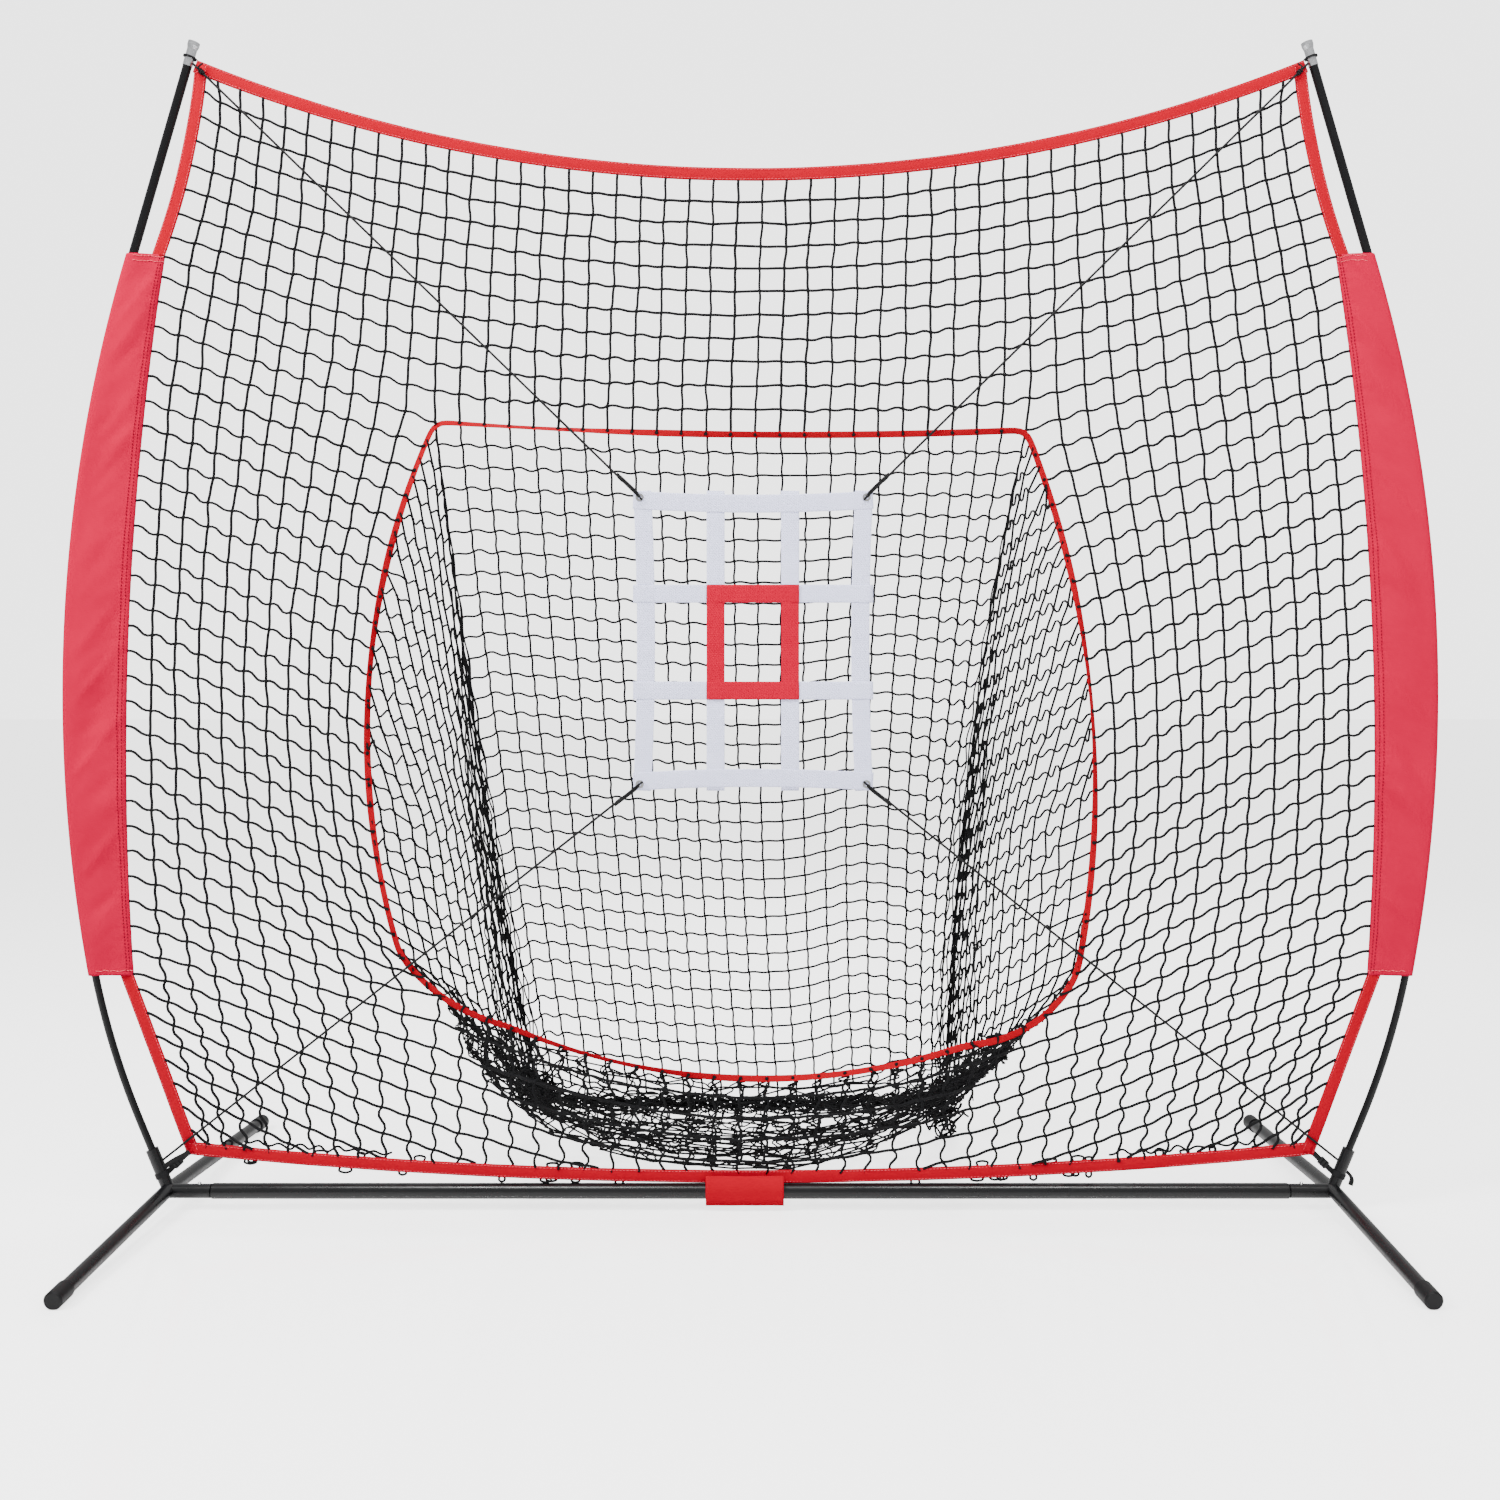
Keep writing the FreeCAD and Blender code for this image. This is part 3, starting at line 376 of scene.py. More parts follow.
def knot(parts, place, size=KNOT_R):
    """A small tight knot, wider than it is deep, at a crossing of the twine."""
    turn = CHANCE.uniform(0, math.pi)
    cosine, sine = math.cos(turn), math.sin(turn)
    stretch = np.array((CHANCE.uniform(1.0, 1.25), 0.85, CHANCE.uniform(0.85, 1.05))) * size
    shaped = KNOT_POINTS * stretch
    turned = np.stack([shaped[:, 0] * cosine - shaped[:, 2] * sine, shaped[:, 1],
                       shaped[:, 0] * sine + shaped[:, 2] * cosine], axis=1)
    parts.add(turned + place, KNOT_FACES, KNOT_UVS)


def ribbon(line, facing, width, thickness, corners=10):
    """A closed flat band along a line; facing is the way its flat side looks at each point."""
    line = np.asarray(line, float)
    ahead = directions(line)
    facing = np.broadcast_to(np.asarray(facing, float), line.shape)
    facing = facing - ahead * np.sum(facing * ahead, axis=1)[:, None]
    facing = facing / np.linalg.norm(facing, axis=1)[:, None]
    across = np.cross(ahead, facing)
    turn = np.arange(corners) * 2 * math.pi / corners
    wide = np.sign(np.cos(turn)) * np.abs(np.cos(turn)) ** 0.35 * width / 2
    deep = np.sign(np.sin(turn)) * np.abs(np.sin(turn)) ** 0.8 * thickness / 2
    points = (line[:, None] + across[:, None] * wide[None, :, None]
              + facing[:, None] * deep[None, :, None]).reshape(-1, 3)
    run = lengths(line)
    uvs = ring_uvs([(wide[s], wide[(s + 1) % corners]) for s in range(corners)], run)
    uvs.extend([(wide[s], 0.0) for s in range(corners - 1, -1, -1)])
    uvs.extend([(wide[s], run[-1]) for s in range(corners)])
    return points, ring_faces(len(line), corners), uvs


def cloth(name, grid, uv_across, uv_along, thickness):
    """A sheet of cloth through a grid of points, with its thickness made by Solidify."""
    rows, columns = grid.shape[:2]
    faces = []
    uvs = []
    for r in range(rows - 1):
        for c in range(columns - 1):
            corners = ((r, c), (r, c + 1), (r + 1, c + 1), (r + 1, c))
            faces.append([i * columns + j for i, j in corners])
            uvs.extend([(uv_across[j], uv_along[i]) for i, j in corners])
    made = piece(name, grid.reshape(-1, 3), faces, uvs)
    wall = made.modifiers.new("thickness", "SOLIDIFY")
    wall.thickness = thickness
    wall.offset = 0.0
    apply(made, "thickness")
    return made


def dress(made, finish, replaced=None, body="stand"):
    """A finish for a piece, the body it rides on and the CAD node it stands for."""
    made.data.materials.append(finish)
    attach(made, body)
    if replaced:
        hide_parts(replaced)


def apply(made, modifier):
    bpy.ops.object.select_all(action="DESELECT")
    bpy.context.view_layer.objects.active = made
    made.select_set(True)
    bpy.ops.object.modifier_apply(modifier=modifier)
    made.select_set(False)


# ---------------------------------------------------------------- camera and light

def camera():
    data = bpy.data.cameras.new("camera")
    data.sensor_width = 36.0
    data.lens = CAMERA_LENS
    data.shift_x, data.shift_y = CAMERA_SHIFT
    data.clip_end = 60.0
    eye = bpy.data.objects.new("camera", data)
    eye.location = CAMERA_PLACE
    eye.rotation_euler = (math.pi / 2, 0, 0)
    bpy.context.scene.collection.objects.link(eye)
    bpy.context.scene.camera = eye


def softbox(name, place, aim, size, power, in_gloss=True):
    """A rectangular studio light; one that isn't in_gloss lights surfaces but shows in no gloss."""
    data = bpy.data.lights.new(name, "AREA")
    data.shape = "RECTANGLE"
    data.size, data.size_y = size
    data.energy = power
    lamp = bpy.data.objects.new(name, data)
    lamp.visible_glossy = in_gloss
    lamp.location = place
    lamp.rotation_euler = (Vector(aim) - Vector(place)).to_track_quat("-Z", "Y").to_euler()
    bpy.context.scene.collection.objects.link(lamp)


def studio():
    world = bpy.data.worlds.new("studio")
    world.use_nodes = True
    tree = world.node_tree
    sky = tree.nodes["Background"]
    sky.inputs["Color"].default_value = (1.0, 1.0, 1.0, 1.0)
    seen = tree.nodes.new("ShaderNodeLightPath")
    strength = math_node(tree, "MULTIPLY_ADD", seen.outputs["Is Camera Ray"], BACKDROP - SKY, SKY)
    gloss = seen.outputs["Is Glossy Ray"]
    strength = math_node(tree, "MULTIPLY_ADD", gloss, SKY_IN_GLOSS - SKY, strength)
    tree.links.new(strength, sky.inputs["Strength"])
    bpy.context.scene.world = world
    softbox("left_light", (-1.3, -1.7, 5.0), (-0.5, 0, 1.0), (0.9, 0.9), 150.0)
    softbox("right_light", (1.3, -1.7, 5.0), (0.5, 0, 1.0), (0.9, 0.9), 120.0)
    softbox("rear_light", (0.0, 1.9, 5.0), (0, 0, 0.8), (2.0, 1.0), 110.0)
    softbox("key_fill", (-3.3, -1.7, 3.4), (-0.3, 0, 1.2), (1.4, 1.4), 300.0, False)
    softbox("front_fill", (2.2, -3.0, 2.4), (0, 0, 1.0), (2.0, 2.0), 130.0, False)
    softbox("rear_fill", (0.6, 3.6, 2.6), (0, 0, 1.0), (2.0, 2.0), 110.0, False)
    bpy.ops.mesh.primitive_plane_add(size=40.0, location=(0, 8.0, -0.0005))
    floor = bpy.context.object
    floor.name = "studio_floor"
    floor.data.materials.append(floor_finish())


# ---------------------------------------------------------------- finishes

def group(name, inputs, outputs):
    """An empty shader node group with named sockets."""
    tree = bpy.data.node_groups.new(name, "ShaderNodeTree")
    for label, kind, value in inputs:
        socket = tree.interface.new_socket(name=label, in_out="INPUT", socket_type=kind)
        if value is not None:
            socket.default_value = value
    for label, kind in outputs:
        tree.interface.new_socket(name=label, in_out="OUTPUT", socket_type=kind)
    return tree, tree.nodes.new("NodeGroupInput"), tree.nodes.new("NodeGroupOutput")


def math_node(tree, operation, first, second=None, third=None):
    node = tree.nodes.new("ShaderNodeMath")
    node.operation = operation
    for socket, value in zip(node.inputs, (first, second, third)):
        if value is None:
            continue
        if isinstance(value, (int, float)):
            socket.default_value = value
        else:
            tree.links.new(value, socket)
    return node.outputs[0]


def weave_group():
    """Over-and-under threads. Across and Along are threads per metre; Height goes to a bump, and Shade
    is painted shade, darker where the threads dip.
    """
    tree, given, out = group("cloth_weave", [("Coordinate", "NodeSocketVector", None),
                                             ("Across", "NodeSocketFloat", 900.0),
                                             ("Along", "NodeSocketFloat", 900.0)],
                             [("Height", "NodeSocketFloat"), ("Shade", "NodeSocketFloat")])
    split = tree.nodes.new("ShaderNodeSeparateXYZ")
    tree.links.new(given.outputs["Coordinate"], split.inputs[0])
    warp = math_node(tree, "MULTIPLY", split.outputs[0], given.outputs["Across"])
    weft = math_node(tree, "MULTIPLY", split.outputs[1], given.outputs["Along"])
    warp = math_node(tree, "MULTIPLY", warp, math.pi)
    weft = math_node(tree, "MULTIPLY", weft, math.pi)
    over = math_node(tree, "MULTIPLY", math_node(tree, "SINE", warp), math_node(tree, "SINE", weft))
    side = math_node(tree, "GREATER_THAN", over, 0.0)
    thread_a = math_node(tree, "ABSOLUTE", math_node(tree, "SINE", warp))
    thread_b = math_node(tree, "ABSOLUTE", math_node(tree, "SINE", weft))
    flip = math_node(tree, "SUBTRACT", 1.0, side)
    height = math_node(tree, "ADD", math_node(tree, "MULTIPLY", thread_a, side),
                       math_node(tree, "MULTIPLY", thread_b, flip))
    tree.links.new(height, out.inputs["Height"])
    # Shade: painted shade, down to 0.78 of the colour in the low places between threads.
    tree.links.new(math_node(tree, "MULTIPLY_ADD", height, 0.22, 0.78), out.inputs["Shade"])
    return tree


def uneven_group():
    """Slow cloudy unevenness: handling, dust and fading. Low and High bound the value."""
    tree, given, out = group("uneven", [("Coordinate", "NodeSocketVector", None),
                                        ("Scale", "NodeSocketFloat", 8.0),
                                        ("Low", "NodeSocketFloat", 0.8),
                                        ("High", "NodeSocketFloat", 1.1)],
                             [("Value", "NodeSocketFloat")])
    cloud = tree.nodes.new("ShaderNodeTexNoise")
    cloud.inputs["Detail"].default_value = 5.0
    tree.links.new(given.outputs["Coordinate"], cloud.inputs["Vector"])
    tree.links.new(given.outputs["Scale"], cloud.inputs["Scale"])
    span = tree.nodes.new("ShaderNodeMapRange")
    span.inputs["From Min"].default_value = 0.3
    span.inputs["From Max"].default_value = 0.7
    tree.links.new(cloud.outputs["Fac"], span.inputs["Value"])
    tree.links.new(given.outputs["Low"], span.inputs["To Min"])
    tree.links.new(given.outputs["High"], span.inputs["To Max"])
    tree.links.new(span.outputs[0], out.inputs["Value"])
    return tree


def lay_group():
    """Strands laid round a cord: slanted ridges from its own UV map."""
    tree, given, out = group("strand_lay", [("Coordinate", "NodeSocketVector", None),
                                            ("Strands", "NodeSocketFloat", 3.0),
                                            ("Turns", "NodeSocketFloat", 160.0),
                                            ("Braid", "NodeSocketFloat", 0.0)],
                             [("Height", "NodeSocketFloat")])
    split = tree.nodes.new("ShaderNodeSeparateXYZ")
    tree.links.new(given.outputs["Coordinate"], split.inputs[0])
    round_it = math_node(tree, "MULTIPLY", split.outputs[0], given.outputs["Strands"])
    along = math_node(tree, "MULTIPLY", split.outputs[1], given.outputs["Turns"])
    one = math_node(tree, "MULTIPLY", math_node(tree, "ADD", round_it, along), 2 * math.pi)
    two = math_node(tree, "MULTIPLY", math_node(tree, "SUBTRACT", round_it, along), 2 * math.pi)
    ridge = math_node(tree, "SINE", one)
    cross = math_node(tree, "MULTIPLY", math_node(tree, "SINE", two), given.outputs["Braid"])
    tree.links.new(math_node(tree, "ADD", ridge, cross), out.inputs["Height"])
    return tree


def grain_group():
    """Fine surface grain; Stretch draws it out along an axis, as brushing or a weave does."""
    tree, given, out = group("fine_grain", [("Coordinate", "NodeSocketVector", None),
                                            ("Scale", "NodeSocketFloat", 800.0),
                                            ("Stretch", "NodeSocketVector", (1.0, 1.0, 1.0))],
                             [("Height", "NodeSocketFloat")])
    mapping = tree.nodes.new("ShaderNodeMapping")
    tree.links.new(given.outputs["Coordinate"], mapping.inputs["Vector"])
    tree.links.new(given.outputs["Stretch"], mapping.inputs["Scale"])
    grain = tree.nodes.new("ShaderNodeTexNoise")
    grain.inputs["Detail"].default_value = 3.0
    tree.links.new(mapping.outputs[0], grain.inputs["Vector"])
    tree.links.new(given.outputs["Scale"], grain.inputs["Scale"])
    tree.links.new(grain.outputs["Fac"], out.inputs["Height"])
    return tree


WEAVE = weave_group()
GRAIN = grain_group()
UNEVEN = uneven_group()
LAY = lay_group()


class Finish:
    """A material under construction, with short ways to add the nodes that finishes share."""

    def __init__(self, name, colour, roughness, metallic=0.0, use_map=False):
        self.material = bpy.data.materials.new(name)
        self.material.use_nodes = True
        self.tree = self.material.node_tree
        self.shader = self.tree.nodes["Principled BSDF"]
        self.colour = colour
        self.shader.inputs["Base Color"].default_value = (*colour, 1.0)
        self.shader.inputs["Roughness"].default_value = roughness
        self.shader.inputs["Metallic"].default_value = metallic
        if use_map:
            source = self.tree.nodes.new("ShaderNodeUVMap")
            source.uv_map = "lay"
            self.place = source.outputs[0]
        else:
            self.place = self.space()

    def space(self):
        return self.tree.nodes.new("ShaderNodeTexCoord").outputs["Object"]

    def set(self, **values):
        for label, value in values.items():
            self.shader.inputs[label.replace("_", " ")].default_value = value
        return self

    def use(self, which, coordinate, **values):
        node = self.tree.nodes.new("ShaderNodeGroup")
        node.node_tree = which
        self.tree.links.new(coordinate, node.inputs["Coordinate"])
        for label, value in values.items():
            node.inputs[label].default_value = value
        return node

    def clouds(self, scale, low, high):
        return self.use(UNEVEN, self.space(), Scale=scale, Low=low, High=high).outputs["Value"]

    def shade(self, factor, deep=None):
        """Base colour between a deep tone and the full colour, by a value from 0 to 1."""
        mix = self.tree.nodes.new("ShaderNodeMix")
        mix.data_type = "RGBA"
        deep = deep or tuple(c * 0.55 for c in self.colour)
        mix.inputs["A"].default_value = (*deep, 1.0)
        mix.inputs["B"].default_value = (*self.colour, 1.0)
        self.tree.links.new(factor, mix.inputs["Factor"])
        self.tree.links.new(mix.outputs["Result"], self.shader.inputs["Base Color"])
        return self

    def rough(self, value):
        self.tree.links.new(value, self.shader.inputs["Roughness"])
        return self

    def bump(self, height, strength, distance):
        node = self.tree.nodes.new("ShaderNodeBump")
        node.inputs["Strength"].default_value = strength
        node.inputs["Distance"].default_value = distance
        self.tree.links.new(height, node.inputs["Height"])
        self.tree.links.new(node.outputs[0], self.shader.inputs["Normal"])
        return self

    def fine(self, scale, stretch=(1.0, 1.0, 1.0)):
        """Fine grain, drawn out along an axis where stretch is given."""
        return self.use(GRAIN, self.space(), Scale=scale, Stretch=stretch).outputs["Height"]

    def times(self, first, second):
        return math_node(self.tree, "MULTIPLY", first, second)


def floor_finish():
    """A white gloss floor that glows to the eye only, so it stays as pale as the backdrop."""
    made = Finish("studio_floor", (0.8, 0.8, 0.8), 0.05)
    made.set(Specular_IOR_Level=0.8)
    made.rough(made.clouds(0.6, 0.06, 0.10))
    tree = made.tree
    glow = tree.nodes.new("ShaderNodeEmission")
    glow.inputs["Strength"].default_value = FLOOR_GLOW
    none = tree.nodes.new("ShaderNodeEmission")
    none.inputs["Strength"].default_value = 0.0
    seen = tree.nodes.new("ShaderNodeLightPath")
    pick = tree.nodes.new("ShaderNodeMixShader")
    tree.links.new(seen.outputs["Is Camera Ray"], pick.inputs["Fac"])
    tree.links.new(none.outputs[0], pick.inputs[1])
    tree.links.new(glow.outputs[0], pick.inputs[2])
    both = tree.nodes.new("ShaderNodeAddShader")
    tree.links.new(made.shader.outputs[0], both.inputs[0])
    tree.links.new(pick.outputs[0], both.inputs[1])
    tree.links.new(both.outputs[0], tree.nodes["Material Output"].inputs["Surface"])
    return made.material


def cloth_finish(name, colour, deep, across, along, strength, rough=0.62, gloss=0.2):
    """Woven cloth; across and along are threads per metre, strength is the weave's bump. Its colour is
    darkened at random in clouds and, as painted shade, between the threads.
    """
    made = Finish(name, colour, rough, use_map=True)
    made.set(Specular_IOR_Level=gloss)
    weave = made.use(WEAVE, made.place, Across=across, Along=along)
    # tone: random clouds times the weave's painted shade between threads.
    tone = made.times(made.clouds(9.0, 0.82, 1.0), weave.outputs["Shade"])
    made.shade(tone, deep)
    made.rough(made.clouds(14.0, rough - 0.08, rough + 0.08))
    made.bump(weave.outputs["Height"], strength, 0.0006)
    return made.material


def tube_finish():
    made = Finish("black_powder_coat", (0.0025, 0.0025, 0.003), 0.3)
    made.set(Specular_IOR_Level=0.42)
    made.shade(made.clouds(6.0, 0.7, 1.0), (0.004, 0.004, 0.0045))
    made.rough(made.clouds(18.0, 0.22, 0.34))
    made.bump(made.fine(900.0), 0.05, 0.0002)
    return made.material


def rod_finish():
    made = Finish("gloss_fibreglass", (0.0025, 0.0025, 0.003), 0.22)
    made.set(Specular_IOR_Level=0.30)
    made.rough(made.clouds(10.0, 0.20, 0.34))
    made.bump(made.fine(500.0, stretch=(1.0, 1.0, 0.06)), 0.04, 0.0002)
    return made.material


def rubber_finish():
    made = Finish("moulded_rubber", (0.003, 0.003, 0.0035), 0.45)
    made.set(Specular_IOR_Level=0.25)
    made.shade(made.clouds(30.0, 0.5, 1.0), (0.006, 0.006, 0.0065))
    made.rough(made.clouds(40.0, 0.38, 0.50))
    made.bump(made.fine(1400.0), 0.15, 0.0002)
    return made.material


def metal_finish(name, colour, rough, stretch):
    made = Finish(name, colour, rough, metallic=1.0)
    made.shade(made.clouds(30.0, 0.6, 1.0), tuple(c * 0.8 for c in colour))
    lines = made.fine(700.0, stretch=stretch)
    made.rough(math_node(made.tree, "MULTIPLY_ADD", lines, 0.2, rough - 0.1))
    made.bump(lines, 0.15, 0.0002)
    return made.material


def twine_finish():
    made = Finish("knotted_twine", (0.003, 0.003, 0.0035), 0.7, use_map=True)
    made.set(Specular_IOR_Level=0.15)
    lay = made.use(LAY, made.place, Strands=2.0, Turns=170.0)
    made.shade(made.clouds(25.0, 0.4, 1.0), (0.007, 0.007, 0.008))
    made.rough(made.clouds(40.0, 0.62, 0.82))
    made.bump(lay.outputs["Height"], 0.6, 0.0005)
    return made.material


def elastic_finish():
    made = Finish("braided_elastic", (0.004, 0.004, 0.0045), 0.6, use_map=True)
    made.set(Specular_IOR_Level=0.25)
    lay = made.use(LAY, made.place, Strands=6.0, Turns=420.0, Braid=1.0)
    made.shade(made.clouds(60.0, 0.5, 1.0), (0.010, 0.010, 0.011))
    made.rough(made.clouds(60.0, 0.5, 0.7))
    made.bump(lay.outputs["Height"], 0.5, 0.0003)
    return made.material


def plastic_finish():
    made = Finish("moulded_plastic", (0.006, 0.006, 0.0065), 0.45)
    made.set(Specular_IOR_Level=0.3)
    made.shade(made.clouds(40.0, 0.6, 1.0), (0.012, 0.012, 0.013))
    made.rough(made.clouds(50.0, 0.4, 0.55))
    made.bump(made.fine(1600.0), 0.2, 0.0002)
    return made.material


RED_TAPE = cloth_finish("red_tape", (0.37, 0.0001, 0.012), (0.22, 0.0001, 0.007),
                        520.0, 520.0, 0.5, 0.6, 0.01)
RED_CLOTH = cloth_finish("red_nylon", (0.44, 0.0001, 0.032), (0.29, 0.0001, 0.018),
                         1100.0, 1100.0, 0.3, 0.5, 0.01)
MOUTH_TAPE = cloth_finish("mouth_tape", (0.34, 0.0003, 0.008), (0.13, 0.0002, 0.003),
                          900.0, 900.0, 0.5, 0.6, 0.03)
WHITE_WEBBING = cloth_finish("white_webbing", (0.74, 0.76, 1.0), (0.56, 0.58, 0.86),
                             420.0, 300.0, 0.8)
RED_WEBBING = cloth_finish("red_webbing", (0.46, 0.0001, 0.024), (0.30, 0.0001, 0.014),
                           420.0, 300.0, 0.8, 0.6, 0.01)
BLACK_WEBBING = Finish("black_webbing", (0.005, 0.005, 0.0055), 0.65)
BLACK_WEBBING.set(Specular_IOR_Level=0.2)
BLACK_WEBBING.shade(BLACK_WEBBING.clouds(60.0, 0.4, 1.0), (0.012, 0.012, 0.013))
BLACK_WEBBING.bump(BLACK_WEBBING.fine(900.0, stretch=(1.0, 1.0, 0.4)), 0.5, 0.0004)
TWINE = twine_finish()
ELASTIC = elastic_finish()
# Seam thread: a dark red that is painted shade, standing for the shadows in the needle holes along the
# sleeves' seams.
SEAM_THREAD_PAINTED_SHADE = cloth_finish("seam_thread_painted_shade", (0.14, 0.0005, 0.006), (0.06, 0.0002, 0.003),
                           2000.0, 2000.0, 0.3)
THREAD = cloth_finish("sewing_thread", (0.86, 0.10, 0.14), (0.60, 0.03, 0.05),
                      2000.0, 2000.0, 0.3)

FRAME_FINISHES = {
    "black_tube": tube_finish(),
    "pole_rod": rod_finish(),
    "foot_rubber": rubber_finish(),
    "ferrule_metal": metal_finish("turned_aluminium", (0.72, 0.73, 0.75), 0.32, (0.2, 0.2, 1.0)),
    "button_steel": metal_finish("plated_steel", (0.62, 0.62, 0.62), 0.28, (1.0, 1.0, 1.0)),
    "spring_steel": metal_finish("spring_steel", (0.35, 0.35, 0.37), 0.4, (0.2, 1.0, 1.0)),
    "grommet_metal": metal_finish("nickel_plate", (0.70, 0.70, 0.69), 0.2, (1.0, 1.0, 1.0)),
    "black_webbing": BLACK_WEBBING.material,
    "buckle_plastic": plastic_finish(),
}


def dress_frame():
    """Finishes on the CAD nodes that stay as they are."""
    for part in frame["record"]["subparts"]:
        finish = FRAME_FINISHES.get(part["material_slot"])
        if finish is None:
            continue
        node = NODES[part["node"]]
        node.data.materials.clear()
        node.data.materials.append(finish)


# ---------------------------------------------------------------- elastic cords

def route(points):
    """A smooth line along a cord's route, read from its own NURBS spline."""
    data = bpy.data.curves.new("route", "CURVE")
    data.dimensions = "3D"
    spline = data.splines.new("NURBS")
    spline.points.add(len(points) - 1)
    for point, place in zip(spline.points, points):
        point.co = (*place, 1.0)
    spline.order_u = 3
    spline.use_endpoint_u = True
    spline.resolution_u = 12
    holder = bpy.data.objects.new("route", data)
    bpy.context.scene.collection.objects.link(holder)
    bpy.context.view_layer.update()
    mesh = bpy.data.meshes.new_from_object(holder)
    line = np.array([v.co for v in mesh.vertices])
    bpy.data.objects.remove(holder)
    bpy.data.curves.remove(data)
    bpy.data.meshes.remove(mesh)
    return line


def cord_ends(side, high):
    """Where a cord leaves its pole, and its eyelet on the target."""
    level = "upper" if high > 0 else "lower"
    hand = "left" if side < 0 else "right"
    low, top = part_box("%s_%s_cord" % (level, hand))
    pole_x = low[0] if side < 0 else top[0]
    pole_z = top[2] if high > 0 else low[2]
    inward = ELASTIC_D / 2
    eyelet = EYELETS[(side, high)]
    return np.array((pole_x - side * inward, eyelet[1], pole_z - high * inward)), np.array(eyelet)


def elastic_cords():
    for high, level in ((1, "upper"), (-1, "lower")):
        for hand, side in SIDE_OF.items():
            pole_end, eyelet = cord_ends(side, high)
            line = spaced(route([pole_end, pole_end * 0.5 + eyelet * 0.5, eyelet]), 40)
            made = piece("elastic_%s_%s" % (level, hand), *tube(line, ELASTIC_D / 2, 8))
            made.data.materials.append(ELASTIC)
            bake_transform(made)
            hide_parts("%s_%s_cord" % (level, hand))


# ---------------------------------------------------------------- netting

def sagging_edge(corner, sag_z, count):
    """The wall's top or bottom edge, from its left corner through the middle to its right one."""
    return arc(at(mirrored(corner)), at((0, sag_z)), at(corner), count)


def upper_edge():
    """The middle of the right-hand upper tape, from under the top tape into the sleeve."""
    half = np.array((BORDER_W / 2, 0, 0))
    middle = at(UPPER_EDGE_MID) + half * UPPER_EDGE_LEAN
    line = arc(at(TOP_CORNER) - half, middle, at(SLEEVE_TOP) + half, 60)[2:]
    return np.concatenate([line, [line[-1] + (line[-1] - line[-2]) * TAPE_TUCK]])


def lower_edge():
    """The middle of the right-hand lower tape, from the sleeve to the wall's bottom corner."""
    half = BORDER_W / 2
    foot = at(BOTTOM_CORNER) - (half * 0.8, 0, -0.002)
    line = np.linspace(at(SLEEVE_BOTTOM) + (half, 0, 0), foot, 50)
    return np.concatenate([[line[0] + (line[0] - line[1]) * TAPE_TUCK], line])


def side_path():
    """Where the wall's netting meets its right-hand tapes and sleeve, from top to bottom."""
    hem = (HEM, 0, 0)
    sleeve = arc(at(SLEEVE_TOP), at(SLEEVE_MID), at(SLEEVE_BOTTOM), 60)
    return np.concatenate([upper_edge() - hem, sleeve, lower_edge() - hem])


def flipped(line):
    return line * (-1, 1, 1)


def bottom_hem(x):
    """The height of the bottom tape's middle."""
    across = abs(x) / BOTTOM_CORNER[0]
    return BOTTOM_SAG_Z + BORDER_W / 2 + (BOTTOM_CORNER[1] - BOTTOM_SAG_Z) * across ** 2


def relaxed(grid, fixed, rounds=2500):
    """Free crossings pulled to the middle of their neighbours."""
    for _ in range(rounds):
        middle = grid.copy()
        level = grid[:-2, 1:-1] + grid[2:, 1:-1]
        middle[1:-1, 1:-1] = (level + grid[1:-1, :-2] + grid[1:-1, 2:]) / 4
        grid = np.where(fixed[:, :, None], grid, middle)
    return grid


def mouth_foot():
    """The mouth's lower edge, from its left corner to its right one."""
    return joined(np.linspace(at(MOUTH_LEFT_CORNER), at(MOUTH_BOTTOM_LEFT), 8),
                  arc(at(MOUTH_BOTTOM_LEFT), at(MOUTH_BOTTOM_MID), at(MOUTH_BOTTOM_RIGHT), 60),
                  np.linspace(at(MOUTH_BOTTOM_RIGHT), at(MOUTH_RIGHT_CORNER), 8))


def mouth_edge(side):
    """The mouth's edge on one side, from its top corner to its low one."""
    high, middle, low, corner = MOUTH_EDGE[side]
    return joined(arc(at(high), at(middle), at(low), 60), np.linspace(at(low), at(corner), 8))


def mouth_sides(columns, rows):
    """The mouth's four sides as the netting meets them: top, right, bottom, left."""
    top = arc(at(MOUTH_TOP_LEFT), at(MOUTH_TOP_MID), at(MOUTH_TOP_RIGHT), 60)
    return (spaced(top, columns + 1), spaced(mouth_edge(1), rows + 1),
            spaced(mouth_foot(), columns + 1), spaced(mouth_edge(-1), rows + 1))


def wall_grid():
    """Crossings of the wall's netting, hung from its tapes, sleeves and mouth."""
    grid = np.zeros((WALL_ROWS + 1, WALL_COLUMNS + 1, 3))
    fixed = np.zeros(grid.shape[:2], bool)
    right = spaced(side_path(), WALL_ROWS + 1)
    hem = (0, 0, BORDER_W / 2 + HEM)
    top = sagging_edge(TOP_CORNER, TOP_SAG_Z, 80) - hem
    grid[0] = spaced(top, WALL_COLUMNS + 1)
    grid[:, -1] = right
    grid[:, 0] = flipped(right)
    low = sagging_edge(BOTTOM_CORNER, LOWEST_ROW_Z, 80)
    grid[-1] = spaced(low, WALL_COLUMNS + 1)
    fixed[0] = fixed[-1] = True
    fixed[:, 0] = fixed[:, -1] = True
    first, last = MOUTH_COLUMNS
    high, deep = MOUTH_ROWS
    mouth = mouth_sides(last - first, deep - high)
    grid[high, first:last + 1] = mouth[0]
    grid[high:deep + 1, last] = mouth[1]
    grid[deep, first:last + 1] = mouth[2]
    grid[high:deep + 1, first] = mouth[3]
    fixed[high:deep + 1, first:last + 1] = True
    grid = relaxed(grid, fixed)
    for r, c in np.argwhere(~fixed):
        grid[r, c] += [CHANCE.gauss(0, slack) for slack in CROSSING_SLACK]
    return grid


